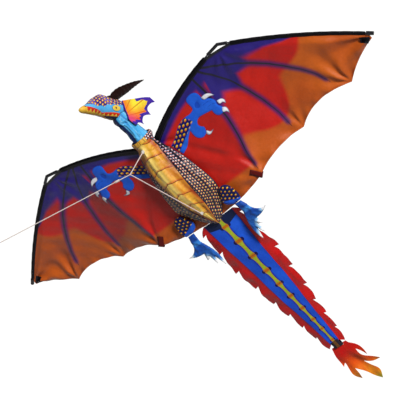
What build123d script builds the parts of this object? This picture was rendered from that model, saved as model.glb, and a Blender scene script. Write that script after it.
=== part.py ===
"""Dragon kite: printed sails on a light rod frame, an inflated body, stuffed head and hind
legs, a scalloped tail with a flame streamer, a two-leg bridle and the start of its line.

Millimetres, +Z up. The belly faces -Y and the wings spread along X. The origin is the tow
point, where the bridle legs meet the flying line. Dimensions below are counted from the
kite's own datum: x = 0 and y = 0 on the spine line, z = 0 at the level of the wing tips.
"""
import math
import os

from build123d import *

os.makedirs("parts", exist_ok=True)

# ---- Where the kite's datum lies, seen from the tow point ----
DATUM_Y = 164.0
DATUM_Z = -147.0

# ---- Wings, measured along the span (s) and up (z) in the wing plane ----
DIHEDRAL = 7.0  # degrees
FOLD_X = 9.0  # fold axis of each wing, beside the spine
NOSE_Z = 137.0  # where the leading edges meet the spine
SHOULDER = (14.0, 141.0)  # inner end of the inner leading-edge rod
SHOULDER_MID = (165.0, 205.5)
WRIST_IN = (318.0, 240.0)  # outer end of the bowed inner rod
WRIST_OUT = (384.0, 232.0)  # inner end of the bowed outer rod
FOREARM_MID = (545.0, 133.0)
TIP = (706.0, 8.0)
ROD_R = 2.0
BATTEN_R = 1.5
SLEEVE_R = 5.0
SLEEVE_BORE_R = 2.7
CONNECTOR_R = 4.6
SOCKET_R = 2.2
SAIL_T = 1.2
PATCH_T = 0.8
AIR = 0.3  # gap kept between neighbouring layers

# Corners of the flat facets that make up one wing (x, y, z)
ROOT = (0.0, 0.0, NOSE_Z)
WRIST = (266.0, 32.7, 228.0)  # ribs fan out from here
CUSP_3 = (204.0, 0.0, -110.0)  # batten pocket corner
CUSP_2 = (371.0, 63.0, -86.0)
CUSP_1 = (562.0, 80.0, -68.0)
WING_TIP = (700.0, 85.5, 5.0)

# ---- Body: station height, half width, ridge depth ----
BODY_BACK = 7.0
BODY_STATIONS = (
    (-150.0, 4.0, 11.0),
    (-139.0, 22.0, 16.0),
    (-105.0, 53.0, 30.0),
    (-62.0, 79.0, 45.0),
    (0.0, 78.0, 61.0),
    (65.0, 66.0, 61.0),
    (120.0, 47.0, 50.0),
    (150.0, 35.0, 38.0),
)
COLLAR_R = 33.0
COLLAR_LOW = 166.0
COLLAR_TOP = 178.0
# Flared mouth of the collar that lets the neck lean
MOUTH_H = 12.0
MOUTH_LOW_R = 27.5
MOUTH_TOP_R = 33.2
GOLD_EDGE = ((14.0, -112.0), (27.0, -70.0), (36.0, 20.0), (38.0, 85.0), (31.0, 150.0), (24.0, 180.0))

# ---- Neck and head, in the side view (y, z) ----
NECK_PIVOT = (0.0, 170.0)
HEAD_PIVOT = (-6.0, 256.0)
NECK_BASE_R = 25.0
NECK_TOP_R = 22.5
HEAD_BACK = (16.0, 276.0)
HEAD_PITCH = 31.8  # degrees above straight ahead
# distance ahead of the back of the head, rise of the centre, half height, half width
HEAD_STATIONS = (
    (-13.0, 0.0, 17.0, 13.0),
    (0.0, 0.0, 28.0, 23.0),
    (30.0, 2.0, 32.0, 26.5),
    (60.0, 8.5, 32.5, 26.5),
    (90.0, 12.0, 27.0, 24.0),
    (120.0, 7.0, 18.0, 18.0),
    (145.0, 3.5, 11.0, 12.5),
    (162.0, 2.0, 6.5, 8.0),
    (168.0, 1.5, 3.0, 4.0),
)
MOUTH_FRONT = (168.0, 0.5)
MOUTH_BACK = (31.0, -22.0)
FRILL_X = 25.0
FRILL_SPREAD = 0.13
FRILL_T = 1.5

# ---- Spine and tail ----
SPINE_Y = 4.0
SPINE_R = 2.5
SPINE_TOP = 141.0
SPINE_JOIN = -255.0
HUB_LOW = 123.0
HUB_H = 20.5
SPINE_END = -654.0
TAIL_TOP = -139.6
TAIL_EDGE = ((56.0, TAIL_TOP), (49.0, -230.0), (37.0, -404.0), (15.0, -642.0))
# scallop tips of the tail frill: half width and height
SCALLOPS = (
    (82.0, -164.0),
    (80.0, -232.0),
    (86.0, -307.0),
    (74.0, -378.0),
    (67.0, -447.0),
    (55.0, -500.0),
    (47.0, -552.0),
    (42.0, -604.0),
    (31.0, -652.0),
)
FLAME_Y = 3.5
FLAME_HINGE_Z = -663.0

# ---- Hind legs ----
LEG_Y = -14.0
KNEE_Z = -131.0
SHANK_T = 10.0
THIGH_T = 12.0
THIGH_EDGE = ((62, -92), (80, -66), (103, -70), (113, -97), (104, -121), (78, -129), (60, -116))

# ---- Bridle and line ----
FRONT_LOOP = (-45.0, 150.0)
REAR_LOOP = (-42.0, -91.0)
BRIDLE_R = 1.5
LINE_R = 1.25
TOW_KNOT_R = 4.0
LINE_RISE = 17.3  # degrees above straight ahead
LINE_LENGTH = 700.0
LINE_KNOT_AT = 71.0
END_LOOP_R = 12.0


def at(x, y, z):
    """Datum coordinates as a point of the row."""
    return Vector(x, DATUM_Y + y, DATUM_Z + z)


def on_wing(s, z, h=0.0):
    """Point of the right wing plane, h in front of it."""
    a = math.radians(DIHEDRAL)
    return at(s * math.cos(a) + h * math.sin(a), s * math.sin(a) - h * math.cos(a), z)


def front(h=0.0):
    """Front-view plane with x to the right and z up, h in front of the datum."""
    return Plane(origin=at(0, -h, 0), x_dir=(1, 0, 0), z_dir=(0, -1, 0))


def side(x=0.0):
    """Side-view plane with y to the right and z up, at x."""
    return Plane(origin=at(x, 0, 0), x_dir=(0, 1, 0), z_dir=(1, 0, 0))


def level(z):
    """Horizontal plane at height z."""
    return Plane(origin=at(0, 0, z), x_dir=(1, 0, 0), z_dir=(0, 0, 1))


def head_plane(t, rise=0.0):
    """Cross-section plane of the head, t ahead of its back."""
    a = math.radians(HEAD_PITCH)
    y = HEAD_BACK[0] - t * math.cos(a) + rise * math.sin(a)
    z = HEAD_BACK[1] + t * math.sin(a) + rise * math.cos(a)
    return Plane(origin=at(0, y, z), x_dir=(1, 0, 0), z_dir=(0, -math.cos(a), math.sin(a)))


def facet(three, outline, shift, depth):
    """Flat panel through three points, its outline given in the front view.

    The panel starts `shift` behind the plane of the points and is `depth` thick along Y.
    """
    p, q, r = (Vector(*v) for v in three)
    n = (q - p).cross(r - p)
    corners = []
    for x, z in outline:
        y = p.Y - (n.X * (x - p.X) + n.Z * (z - p.Z)) / n.Y
        corners.append(at(x, y + shift, z))
    face = Face(Polyline(*corners, close=True).wire())
    return extrude(face, amount=depth, dir=(0, 1, 0))


def beyond(start, end, times):
    """Front-view point on the line from start through end, that many lengths along."""
    return (start[0] + times * (end[0] - start[0]), start[2] + times * (end[2] - start[2]))


def meeting(p, d, q, e):
    """Where the line through p along d meets the line through q along e."""
    n = d.cross(e)
    return p + d * ((q - p).cross(e).dot(n) / n.dot(n))


def save(builder, name):
    """Label one part and write it."""
    shape = builder.part
    shape.label = name
    export_step(shape, f"parts/{name}.step")


def save_pair(builder, name):
    """Write a right-hand part and its mirror image."""
    save(builder, f"right_{name}")
    with BuildPart() as left:
        add(mirror(builder.part, about=Plane.YZ))
    save(left, f"left_{name}")


# =================== Right wing ===================
with BuildLine() as inner_bow:
    ThreePointArc(on_wing(*SHOULDER), on_wing(*SHOULDER_MID), on_wing(*WRIST_IN))
with BuildLine() as outer_bow:
    ThreePointArc(on_wing(*WRIST_OUT), on_wing(*FOREARM_MID), on_wing(*TIP))
inner_arc = inner_bow.edges()[0]
outer_arc = outer_bow.edges()[0]
elbow = meeting(inner_arc @ 1, inner_arc % 1, outer_arc @ 0, outer_arc % 0)
ROD_IN_SOCKET = 20.0

# Inner leading-edge rod: plain bow, then straight into the wrist connector
with BuildPart() as inner_spar:
    with BuildLine() as inner_path:
        Line(inner_arc @ 0 - (inner_arc % 0) * 2, inner_arc @ 0)
        add(inner_arc)
        Line(inner_arc @ 1, inner_arc @ 1 + (inner_arc % 1) * ROD_IN_SOCKET)
    with BuildSketch(Plane(origin=inner_path.wire() @ 0, z_dir=inner_arc % 0)):
        Circle(ROD_R)
    sweep(path=inner_path.wire())

# Outer leading-edge rod, from the wrist connector into the tip cap
with BuildPart() as outer_spar:
    with BuildLine() as outer_path:
        Line(outer_arc @ 0 - (outer_arc % 0) * ROD_IN_SOCKET, outer_arc @ 0)
        add(outer_arc)
    with BuildSketch(Plane(origin=outer_path.wire() @ 0, z_dir=outer_arc % 0)):
        Circle(ROD_R)
    sweep(path=outer_path.wire())

# Bent wrist connector: two sockets meeting at the elbow, with a web in the angle
in_arm = (elbow - inner_arc @ 1).length
out_arm = (outer_arc @ 0 - elbow).length
with BuildPart() as wrist_connector:
    with BuildSketch(Plane(origin=inner_arc @ 1, z_dir=inner_arc % 1)):
        Circle(CONNECTOR_R)
    extrude(amount=in_arm)
    with BuildSketch(Plane(origin=elbow, z_dir=outer_arc % 0)):
        Circle(CONNECTOR_R)
    extrude(amount=out_arm)
    with Locations(elbow):
        Sphere(CONNECTOR_R)
    with BuildSketch(Plane(origin=inner_arc @ 1, z_dir=inner_arc % 1)):
        Circle(SOCKET_R)
    extrude(amount=ROD_IN_SOCKET + 1, mode=Mode.SUBTRACT)
    with BuildSketch(Plane(origin=outer_arc @ 0, z_dir=(outer_arc % 0) * -1)):
        Circle(SOCKET_R)
    extrude(amount=ROD_IN_SOCKET + 1, mode=Mode.SUBTRACT)

# Soft vinyl tube that takes the rod's inner end and bends about the hub's ball
BALL_R = 3.5
ball_z = SHOULDER[1] - (SHOULDER[0] - FOLD_X) * (inner_arc % 0).Z / math.hypot(
    (inner_arc % 0).X, (inner_arc % 0).Y
)
ball = at(FOLD_X, FOLD_X * math.tan(math.radians(DIHEDRAL)), ball_z)
with BuildPart() as root_tube:
    with BuildSketch(Plane(origin=inner_arc @ 0 - (inner_arc % 0) * 1.8, z_dir=inner_arc % 0)):
        Circle(4.0)
        Circle(SOCKET_R, mode=Mode.SUBTRACT)
    extrude(amount=15.0)

# Fabric sleeves round the rods, open at the wrist so that the connector is bare
with BuildPart() as inner_sleeve:
    with BuildLine() as inner_run:
        ThreePointArc(inner_arc @ 0.055, inner_arc @ 0.5, inner_arc @ 0.955)
    with BuildSketch(Plane(origin=inner_run.wire() @ 0, z_dir=inner_run.wire() % 0)):
        Circle(SLEEVE_R)
        Circle(SLEEVE_BORE_R, mode=Mode.SUBTRACT)
    sweep(path=inner_run.wire())
with BuildPart() as outer_sleeve:
    with BuildLine() as outer_run:
        ThreePointArc(outer_arc @ 0.02, outer_arc @ 0.5, outer_arc @ 0.955)
    with BuildSketch(Plane(origin=outer_run.wire() @ 0, z_dir=outer_run.wire() % 0)):
        Circle(SLEEVE_R - 0.6)
        Circle(SLEEVE_BORE_R, mode=Mode.SUBTRACT)
    sweep(path=outer_run.wire())

# Vinyl cap on the wing tip
with BuildPart() as tip_cap:
    with BuildSketch(Plane(origin=outer_arc @ 0.965, z_dir=outer_arc % 1)):
        Circle(5.4)
    extrude(amount=21.0)
    fillet(tip_cap.edges().group_by(Axis.X)[-1], radius=2.0)
    with BuildSketch(Plane(origin=outer_arc @ 0.965, z_dir=outer_arc % 1)):
        Circle(SOCKET_R + 0.2)
    extrude(amount=16.0, mode=Mode.SUBTRACT)

# Sail: facets cut to one outline, clear of the sleeves, connector and cap
sail_facets = (
    facet(
        (ROOT, CUSP_3, (0.0, 0.0, 0.0)),
        ((0, NOSE_Z), beyond(ROOT, CUSP_3, 1.1), (0, -190)),
        -SAIL_T / 2,
        SAIL_T,
    )
    + facet(
        (ROOT, CUSP_3, WRIST),
        ((0, NOSE_Z), (CUSP_3[0], CUSP_3[2]), (WRIST[0], WRIST[2]), (WRIST[0], 262), (0, 175)),
        -SAIL_T / 2,
        SAIL_T,
    )
    + facet(
        (WRIST, CUSP_3, CUSP_2),
        ((WRIST[0], WRIST[2]), beyond(WRIST, CUSP_3, 1.1), beyond(WRIST, CUSP_2, 1.1)),
        -SAIL_T / 2,
        SAIL_T,
    )
    + facet(
        (WRIST, CUSP_2, CUSP_1),
        ((WRIST[0], WRIST[2]), beyond(WRIST, CUSP_2, 1.1), beyond(WRIST, CUSP_1, 1.1)),
        -SAIL_T / 2,
        SAIL_T,
    )
    + facet(
        (WRIST, CUSP_1, WING_TIP),
        (
            (WRIST[0], WRIST[2]),
            beyond(WRIST, CUSP_1, 1.1),
            (760, -60),
            (760, 120),
            (400, 262),
            (WRIST[0], 262),
        ),
        -SAIL_T / 2,
        SAIL_T,
    )
)
COS = math.cos(math.radians(DIHEDRAL))
with BuildPart() as sail:
    with BuildSketch(front(60)):
        with BuildLine():
            Line((12, -138), (SHOULDER[0] * COS, SHOULDER[1]))
            ThreePointArc(
                (SHOULDER[0] * COS, SHOULDER[1]), (SHOULDER_MID[0] * COS, SHOULDER_MID[1]), (299.7, 237.8)
            )
            ThreePointArc((299.7, 237.8), (340, 235), (WRIST_OUT[0] * COS, WRIST_OUT[1] - 3))
            Line((WRIST_OUT[0] * COS, WRIST_OUT[1] - 3), (WRIST_OUT[0] * COS, WRIST_OUT[1]))
            ThreePointArc(
                (WRIST_OUT[0] * COS, WRIST_OUT[1]),
                (FOREARM_MID[0] * COS, FOREARM_MID[1]),
                (TIP[0] * COS, TIP[1]),
            )
            Line((TIP[0] * COS, TIP[1]), (694, -3))
            ThreePointArc((694, -3), (628, -27), (CUSP_1[0], CUSP_1[2]))
            ThreePointArc((CUSP_1[0], CUSP_1[2]), (470, -51), (CUSP_2[0], CUSP_2[2]))
            ThreePointArc((CUSP_2[0], CUSP_2[2]), (284, -84), (CUSP_3[0], CUSP_3[2]))
            ThreePointArc((CUSP_3[0], CUSP_3[2]), (110, -131), (12, -138))
        make_face()
    extrude(amount=-200)
    add(sail_facets, mode=Mode.INTERSECT)
    with BuildSketch(Plane(origin=inner_path.wire() @ 0, z_dir=inner_arc % 0)):
        Circle(SLEEVE_R + AIR)
    sweep(path=inner_path.wire(), mode=Mode.SUBTRACT)
    with BuildSketch(Plane(origin=outer_path.wire() @ 0, z_dir=outer_arc % 0)):
        Circle(SLEEVE_R + AIR)
    sweep(path=outer_path.wire(), mode=Mode.SUBTRACT)
    with BuildSketch(Plane(origin=outer_arc @ 0.955, z_dir=outer_arc % 1)):
        Circle(5.4 + AIR)
    extrude(amount=40.0, mode=Mode.SUBTRACT)

# Reinforcement patch on the front of the sail at the tip
tip_sheet = facet(
    (WRIST, CUSP_1, WING_TIP),
    ((664, 16), (682, 0), (668, -12), (655, 2)),
    -SAIL_T / 2 - AIR - PATCH_T,
    PATCH_T,
)
with BuildPart() as tip_patch:
    add(tip_sheet)

# Batten behind the crease of the sail, from beside the nose to its pocket
batten_run = Vector(CUSP_3[0], 0, CUSP_3[2]) - Vector(0, 0, NOSE_Z)
batten_dir = batten_run.normalized()
batten_len = batten_run.length
batten_side = Vector(-batten_dir.Z, 0, batten_dir.X)
with BuildPart() as batten_rod:
    with BuildSketch(Plane(origin=at(0, 3.2, NOSE_Z) + batten_dir * 22, z_dir=batten_dir)):
        Circle(BATTEN_R)
    extrude(amount=batten_len - 22 - 6)

# Folded pocket that wraps the sail's corner and the batten's end
POCKET_W = 18.0
POCKET_L = 34.0
with BuildPart() as batten_pocket:
    with BuildSketch(
        Plane(origin=at(*CUSP_3) - batten_side * (POCKET_W / 2), x_dir=batten_dir, z_dir=batten_side)
    ):
        with Locations((-POCKET_L / 2 + 4.5, 2.3)):
            Rectangle(POCKET_L, 8.4)
        with Locations((-POCKET_L / 2 + 3.5, 2.3)):
            Rectangle(POCKET_L, 6.8, mode=Mode.SUBTRACT)
    extrude(amount=POCKET_W)

# Foreleg sewn flat on the sail, with its claws
foreleg_sheet = facet(
    (ROOT, CUSP_3, WRIST),
    ((40, 40), (300, 40), (300, 210), (40, 210)),
    -SAIL_T / 2 - AIR - PATCH_T,
    PATCH_T,
)
with BuildPart() as foreleg:
    with BuildSketch(front(60)):
        with BuildLine():
            Spline((53, 106), (82, 120), (107, 136), (137, 145), (159, 144))
            Spline((159, 144), (176, 150), (177, 178), (193, 186), (214, 181), (218, 153))
            Spline((218, 153), (240, 142), (246, 128), (244, 118), (250, 104), (240, 91))
            Spline((240, 91), (227, 92), (219, 103), (219, 115))
            Spline((219, 115), (192, 120), (167, 118), (158, 106), (168, 92))
            Spline((168, 92), (160, 75), (145, 71), (128, 85), (128, 107))
            Spline((128, 107), (112, 96), (90, 78), (66, 68))
            Line((66, 68), (53, 106))
        make_face()
        with Locations((195, 151)):
            Ellipse(8, 6, rotation=60, mode=Mode.SUBTRACT)
    extrude(amount=-150)
    add(foreleg_sheet, mode=Mode.INTERSECT)
CLAWS = (
    ((218, 160), (232, 162), (245, 157), (254, 143), (239, 149), (221, 152)),
    ((249, 127), (262, 124), (266, 115), (262, 106), (258, 114), (251, 115)),
    ((248, 104), (255, 99), (256, 90), (252, 78), (248, 88), (242, 91)),
    ((160, 72), (164, 66), (174, 66), (186, 72), (172, 73), (166, 80)),
)
claw_sheets = [
    facet((ROOT, CUSP_3, WRIST), claw, -SAIL_T / 2 - AIR - PATCH_T, PATCH_T) for claw in CLAWS
]
with BuildPart() as foreleg_claws:
    add(claw_sheets)
    add(foreleg.part, mode=Mode.SUBTRACT)

for built, name in (
    (inner_spar, "inner_spar"),
    (outer_spar, "outer_spar"),
    (wrist_connector, "wrist_connector"),
    (root_tube, "root_tube"),
    (inner_sleeve, "inner_sleeve"),
    (outer_sleeve, "outer_sleeve"),
    (tip_cap, "tip_cap"),
    (sail, "sail"),
    (tip_patch, "tip_patch"),
    (batten_rod, "batten_rod"),
    (batten_pocket, "batten_pocket"),
    (foreleg, "foreleg"),
    (foreleg_claws, "foreleg_claws"),
):
    save_pair(built, name)

# =================== Spine and nose hub ===================
with BuildPart() as spine_upper:
    with BuildSketch(level(SPINE_JOIN)):
        with Locations((0, SPINE_Y)):
            Circle(SPINE_R)
    extrude(amount=SPINE_TOP - SPINE_JOIN)
save(spine_upper, "spine_upper")
with BuildPart() as spine_lower:
    with BuildSketch(level(SPINE_END)):
        with Locations((0, SPINE_Y)):
            Circle(SPINE_R)
    extrude(amount=SPINE_JOIN - AIR - SPINE_END)
save(spine_lower, "spine_lower")
with BuildPart() as spine_ferrule:
    with BuildSketch(level(SPINE_JOIN - 25)):
        with Locations((0, SPINE_Y + 1)):
            Circle(3.9)
        with Locations((0, SPINE_Y)):
            Circle(SPINE_R + 0.1, mode=Mode.SUBTRACT)
    extrude(amount=50)
    fillet(spine_ferrule.edges().filter_by(GeomType.CIRCLE).group_by(SortBy.RADIUS)[-1], radius=0.4)
save(spine_ferrule, "spine_ferrule")
with BuildPart() as nose_hub:
    with BuildSketch(level(HUB_LOW)):
        with Locations((0, SPINE_Y)):
            Circle(5.2)
    extrude(amount=HUB_H)
    fillet(nose_hub.edges().group_by(Axis.Z)[-1], radius=1.0)
    with BuildSketch(Plane(origin=at(-FOLD_X, ball.Y - DATUM_Y, ball_z), z_dir=(1, 0, 0))):
        Circle(1.8)
    extrude(amount=2 * FOLD_X)
    with Locations(ball, (-ball.X, ball.Y, ball.Z)):
        Sphere(BALL_R)
    with BuildSketch(level(HUB_LOW)):
        with Locations((0, SPINE_Y)):
            Circle(SPINE_R + 0.1)
    extrude(amount=SPINE_TOP + 0.2 - HUB_LOW, mode=Mode.SUBTRACT)
save(nose_hub, "nose_hub")

# =================== Body ===================


def body_section(z, w, d, back):
    """Pointed-arch section: two bulging sides from the ridge to the seams, and its back."""
    run = Vector(w, d - BODY_BACK)
    out = Vector(run.Y, -run.X).normalized() * (0.13 * run.length)
    mid = (w / 2 + out.X, -(d + BODY_BACK) / 2 + out.Y)
    with BuildSketch(level(z)) as section:
        with BuildLine():
            ThreePointArc((0, -d), mid, (w, -BODY_BACK))
            ThreePointArc((w, -BODY_BACK), (w * 0.5, back + 0.2), (0, back))
            ThreePointArc((0, back), (-w * 0.5, back + 0.2), (-w, -BODY_BACK))
            ThreePointArc((-w, -BODY_BACK), (-mid[0], mid[1]), (0, -d))
        make_face()
    return section.sketch


def collar_section(z, r):
    """Round section cut into the same four edges as the body's."""
    low = -math.sqrt(0.5) * r
    with BuildSketch(level(z)) as section:
        with BuildLine():
            ThreePointArc((0, -r), (-low, low), (r, 0))
            ThreePointArc((r, 0), (-low, -low), (0, r))
            ThreePointArc((0, r), (low, -low), (-r, 0))
            ThreePointArc((-r, 0), (low, low), (0, -r))
        make_face()
    return section.sketch


stations = [body_section(z, w, d, -BODY_BACK) for z, w, d in BODY_STATIONS]
with BuildPart() as body_form:
    loft(stations, ruled=False)
with BuildPart() as throat_form:
    loft([body_section(*BODY_STATIONS[-1], -BODY_BACK), collar_section(COLLAR_LOW, COLLAR_R)])
    with BuildSketch(level(COLLAR_LOW)):
        Circle(COLLAR_R)
    extrude(amount=COLLAR_TOP - COLLAR_LOW)
with BuildPart() as body_solid:
    add(body_form.part)
    add(throat_form.part)
    with Locations(at(0, NECK_PIVOT[0], NECK_PIVOT[1])):
        Sphere(NECK_BASE_R + 1.5, mode=Mode.SUBTRACT)
    with Locations(at(0, NECK_PIVOT[0], NECK_PIVOT[1] + MOUTH_H / 2)):
        Cone(MOUTH_LOW_R, MOUTH_TOP_R, MOUTH_H, mode=Mode.SUBTRACT)


def gold_outline(grow):
    """Front view of the belly's gold panel, grown sideways."""
    with BuildSketch(front(120)) as outline:
        with BuildLine():
            Line((0, -152), (grow, -152))
            Spline(
                (grow, -152),
                *[(x + grow, z) for x, z in GOLD_EDGE],
                tangents=[(0.3, 1), (-0.2, 1)],
            )
            Line((GOLD_EDGE[-1][0] + grow, GOLD_EDGE[-1][1]), (0, GOLD_EDGE[-1][1]))
            Line((0, GOLD_EDGE[-1][1]), (0, -152))
        make_face()
        mirror(about=Plane.YZ)
    return outline.sketch


gold_inside = extrude(gold_outline(1.0), amount=-200)
gold_block = extrude(gold_outline(1.0 + AIR), amount=-200)
with BuildPart() as belly_panel:
    add(body_solid.part)
    add(gold_inside, mode=Mode.INTERSECT)
save(belly_panel, "belly_panel")
with BuildPart() as right_flank:
    add(body_solid.part)
    add(gold_block, mode=Mode.SUBTRACT)
    split(bisect_by=Plane(origin=at(0.5, 0, 0), z_dir=(1, 0, 0)), keep=Keep.TOP)
save_pair(right_flank, "flank")
with BuildPart() as body_collar:
    with BuildSketch(level(COLLAR_LOW)):
        Circle(COLLAR_R + 2.0)
        Circle(COLLAR_R + 0.2, mode=Mode.SUBTRACT)
    extrude(amount=COLLAR_TOP + 1.5 - COLLAR_LOW)
save(body_collar, "body_collar")

# Webbing tabs on the ridge that hold the bridle
with BuildPart() as tow_loops:
    for y, z in (FRONT_LOOP, REAR_LOOP):
        with BuildSketch(side(-1.6)):
            with Locations((y + 3.0 + 6.0, z)):
                Rectangle(12.0, 9.0)
        extrude(amount=3.2)
    add(body_solid.part, mode=Mode.SUBTRACT)
save(tow_loops, "tow_loops")

# =================== Hind legs ===================
with BuildPart() as thigh:
    with BuildSketch(front(-LEG_Y)):
        with BuildLine():
            Spline(*THIGH_EDGE, periodic=True)
        make_face()
    extrude(amount=THIGH_T / 2, both=True)
    fillet(thigh.faces().filter_by(Axis.Y).edges(), radius=3.5)
    split(bisect_by=Plane(origin=at(0, 0, KNEE_Z + 5.5), z_dir=(0, 0, 1)), keep=Keep.TOP)
    with BuildSketch(front(120)):
        with BuildLine():
            Polyline((0, 60), *[(w + 2.0, z) for z, w, d in BODY_STATIONS[4::-1]], (0, -150))
            Line((0, -150), (0, 60))
        make_face()
    extrude(amount=-200, mode=Mode.SUBTRACT)
with BuildPart() as shank:
    with BuildSketch(front(-LEG_Y)):
        with BuildLine():
            Line((84, KNEE_Z - 0.5), (107, KNEE_Z - 0.5))
            Line((107, KNEE_Z - 0.5), (113, -150))
            ThreePointArc((113, -150), (121, -171), (156, -184))
            ThreePointArc((156, -184), (130, -196), (107, -199))
            Line((107, -199), (113, -221))
            ThreePointArc((113, -221), (104, -219), (99, -212))
            Line((99, -212), (95, -247))
            ThreePointArc((95, -247), (88, -232), (86, -222))
            Line((86, -222), (76, -262))
            ThreePointArc((76, -262), (71, -224), (80, -184))
            Line((80, -184), (87, -162))
            Line((87, -162), (84, KNEE_Z - 0.5))
        make_face()
    extrude(amount=SHANK_T / 2, both=True)
    with BuildSketch(Plane(origin=at(84, LEG_Y, KNEE_Z), z_dir=(1, 0, 0))):
        Circle(SHANK_T / 2)
    extrude(amount=23)
save_pair(thigh, "thigh")
save_pair(shank, "shank")

# =================== Tail ===================
with BuildPart() as tail_panel:
    with BuildSketch(front(SAIL_T / 2)) as tail_outline:
        with BuildLine():
            Spline(*TAIL_EDGE)
            Line(TAIL_EDGE[-1], (0, TAIL_EDGE[-1][1]))
            Line((0, TAIL_EDGE[-1][1]), (0, TAIL_TOP))
            Line((0, TAIL_TOP), TAIL_EDGE[0])
        make_face()
        mirror(about=Plane.YZ)
    extrude(amount=-SAIL_T)
save(tail_panel, "tail_panel")
with BuildPart() as tail_frill:
    with BuildSketch(front(SAIL_T / 2)):
        with BuildLine():
            inner = [(x + AIR + 0.1, z) for x, z in TAIL_EDGE]
            Spline(*inner)
            here = Vector(TAIL_EDGE[0][0] + 3, TAIL_TOP)
            Line(inner[0], here)
            for w, z in SCALLOPS:
                there = Vector(w, z)
                across = Vector(here.Y - there.Y, there.X - here.X).normalized()
                ThreePointArc(here, (here + there) / 2 + across * (0.14 * (there - here).length), there)
                here = there - Vector(0.16 * w, 2)
                if (w, z) != SCALLOPS[-1]:
                    Line(there, here)
            Line(there, inner[-1])
        make_face()
    extrude(amount=-SAIL_T)
save_pair(tail_frill, "tail_frill")
with BuildPart() as tail_end_cap:
    with BuildSketch(level(SPINE_END - 3)):
        with Locations((0, SPINE_Y)):
            Circle(3.3)
    extrude(amount=14)
    with BuildSketch(level(SPINE_END - 0.2)):
        with Locations((0, SPINE_Y)):
            Circle(SPINE_R + 0.1)
    extrude(amount=14, mode=Mode.SUBTRACT)
save(tail_end_cap, "tail_end_cap")
with BuildPart() as tail_end_pocket:
    with BuildSketch(side(-14)):
        with Locations((SPINE_Y - 0.7, -648)):
            Rectangle(9.8, 25)
        with Locations((SPINE_Y - 0.7, -647)):
            Rectangle(8.2, 25, mode=Mode.SUBTRACT)
    extrude(amount=28)
save(tail_end_pocket, "tail_end_pocket")
with BuildPart() as tail_flame:
    top = FLAME_HINGE_Z - 1.5
    with BuildSketch(front(-FLAME_Y + SAIL_T / 2)):
        with BuildLine():
            Line((-29, top), (31, top))
            Spline((31, top), (48, -684), (54, -708), (50, -727))
            Spline((50, -727), (45, -708), (35, -692))
            Spline((35, -692), (36, -716), (52, -737), (73, -757))
            Spline((73, -757), (52, -756), (36, -748), (22, -739))
            Spline((22, -739), (36, -762), (49, -784), (36, -812))
            Spline((36, -812), (24, -796), (12, -772), (-12, -742))
            Spline((-12, -742), (-11, -762), (-18, -782))
            Spline((-18, -782), (-30, -762), (-30, -738), (-27, -714))
            Spline((-27, -714), (-31, -716), (-39, -724))
            Spline((-39, -724), (-37, -692), (-29, top))
        make_face()
    extrude(amount=-SAIL_T)
save(tail_flame, "tail_flame")

# =================== Neck ===================
with BuildPart() as neck_tube:
    neck_rings = []
    for y, z, r in ((0, 174, 24.6), (-1.5, 205, 22.3), (-5, 235, 21.6), (-6, 254, 22.3)):
        with BuildSketch(level(z)) as ring:
            with Locations((0, y)):
                Circle(r)
        neck_rings.append(ring.sketch)
    loft(neck_rings)
    with Locations(at(0, *NECK_PIVOT)):
        Sphere(NECK_BASE_R)
    with Locations(at(0, *HEAD_PIVOT)):
        Sphere(NECK_TOP_R)
save(neck_tube, "neck_tube")

# =================== Head ===================
with BuildPart() as head_form:
    head_rings = []
    for t, rise, half_h, half_w in HEAD_STATIONS:
        with BuildSketch(head_plane(t, rise)) as ring:
            Ellipse(half_w, half_h)
        head_rings.append(ring.sketch)
    loft(head_rings)
with BuildPart() as head_solid:
    add(head_form.part)
    with Locations(at(0, *HEAD_PIVOT)):
        Sphere(NECK_TOP_R + 1.4, mode=Mode.SUBTRACT)
mouth_a = head_plane(*MOUTH_FRONT).origin
mouth_b = head_plane(*MOUTH_BACK).origin
mouth_up = Vector(1, 0, 0).cross(mouth_b - mouth_a).normalized()
if mouth_up.Z < 0:
    mouth_up = mouth_up * -1
with BuildPart() as head_shell:
    add(head_solid.part)
    split(bisect_by=Plane(origin=mouth_a + mouth_up * 0.2, z_dir=mouth_up), keep=Keep.TOP)
save(head_shell, "head_shell")
with BuildPart() as lower_jaw:
    add(head_solid.part)
    split(bisect_by=Plane(origin=mouth_a - mouth_up * 0.2, z_dir=mouth_up), keep=Keep.BOTTOM)
    behind_neck = lower_jaw.solids().sort_by(Axis.Y)[1:]
    add(behind_neck, mode=Mode.SUBTRACT)
save(lower_jaw, "lower_jaw")

with BuildPart() as eyes:
    for hand in (1, -1):
        spot = head_plane(40, -8).origin + Vector(hand * 26.0, 0, 0)
        with BuildSketch(Plane(origin=spot, x_dir=(0, -0.85, 0.53), z_dir=(hand, 0, -0.15))):
            Ellipse(8.5, 5)
        extrude(amount=1.6)
    add(head_form.part, mode=Mode.SUBTRACT)
save(eyes, "eyes")

with BuildPart() as horn:
    horn_rings = []
    horn_run = ((14, 2, 318, 13.5), (22, 50, 305, 11), (28, 108, 290, 7.5), (32, 168, 271, 1.5))
    for i, (x, y, z, r) in enumerate(horn_run):
        before = Vector(*horn_run[max(i - 1, 0)][:3])
        after = Vector(*horn_run[min(i + 1, 3)][:3])
        with BuildSketch(Plane(origin=at(x, y, z), x_dir=(1, -0.1, 0), z_dir=after - before)) as ring:
            Ellipse(r * 0.72, r)
        horn_rings.append(ring.sketch)
    loft(horn_rings)
    add(head_form.part, mode=Mode.SUBTRACT)
save_pair(horn, "horn")

hinge_top = Vector(18, 290)
hinge_low = Vector(-20, 245)
hinge_dir = (hinge_low - hinge_top).normalized()
hinge_out = Vector(-hinge_dir.Y, hinge_dir.X)


def on_frill(y, z):
    """Point of the right cheek frill: it stands further out the further back it reaches."""
    back = (Vector(y, z) - hinge_top).dot(hinge_out)
    return at(FRILL_X + FRILL_SPREAD * back, y, z)


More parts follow.
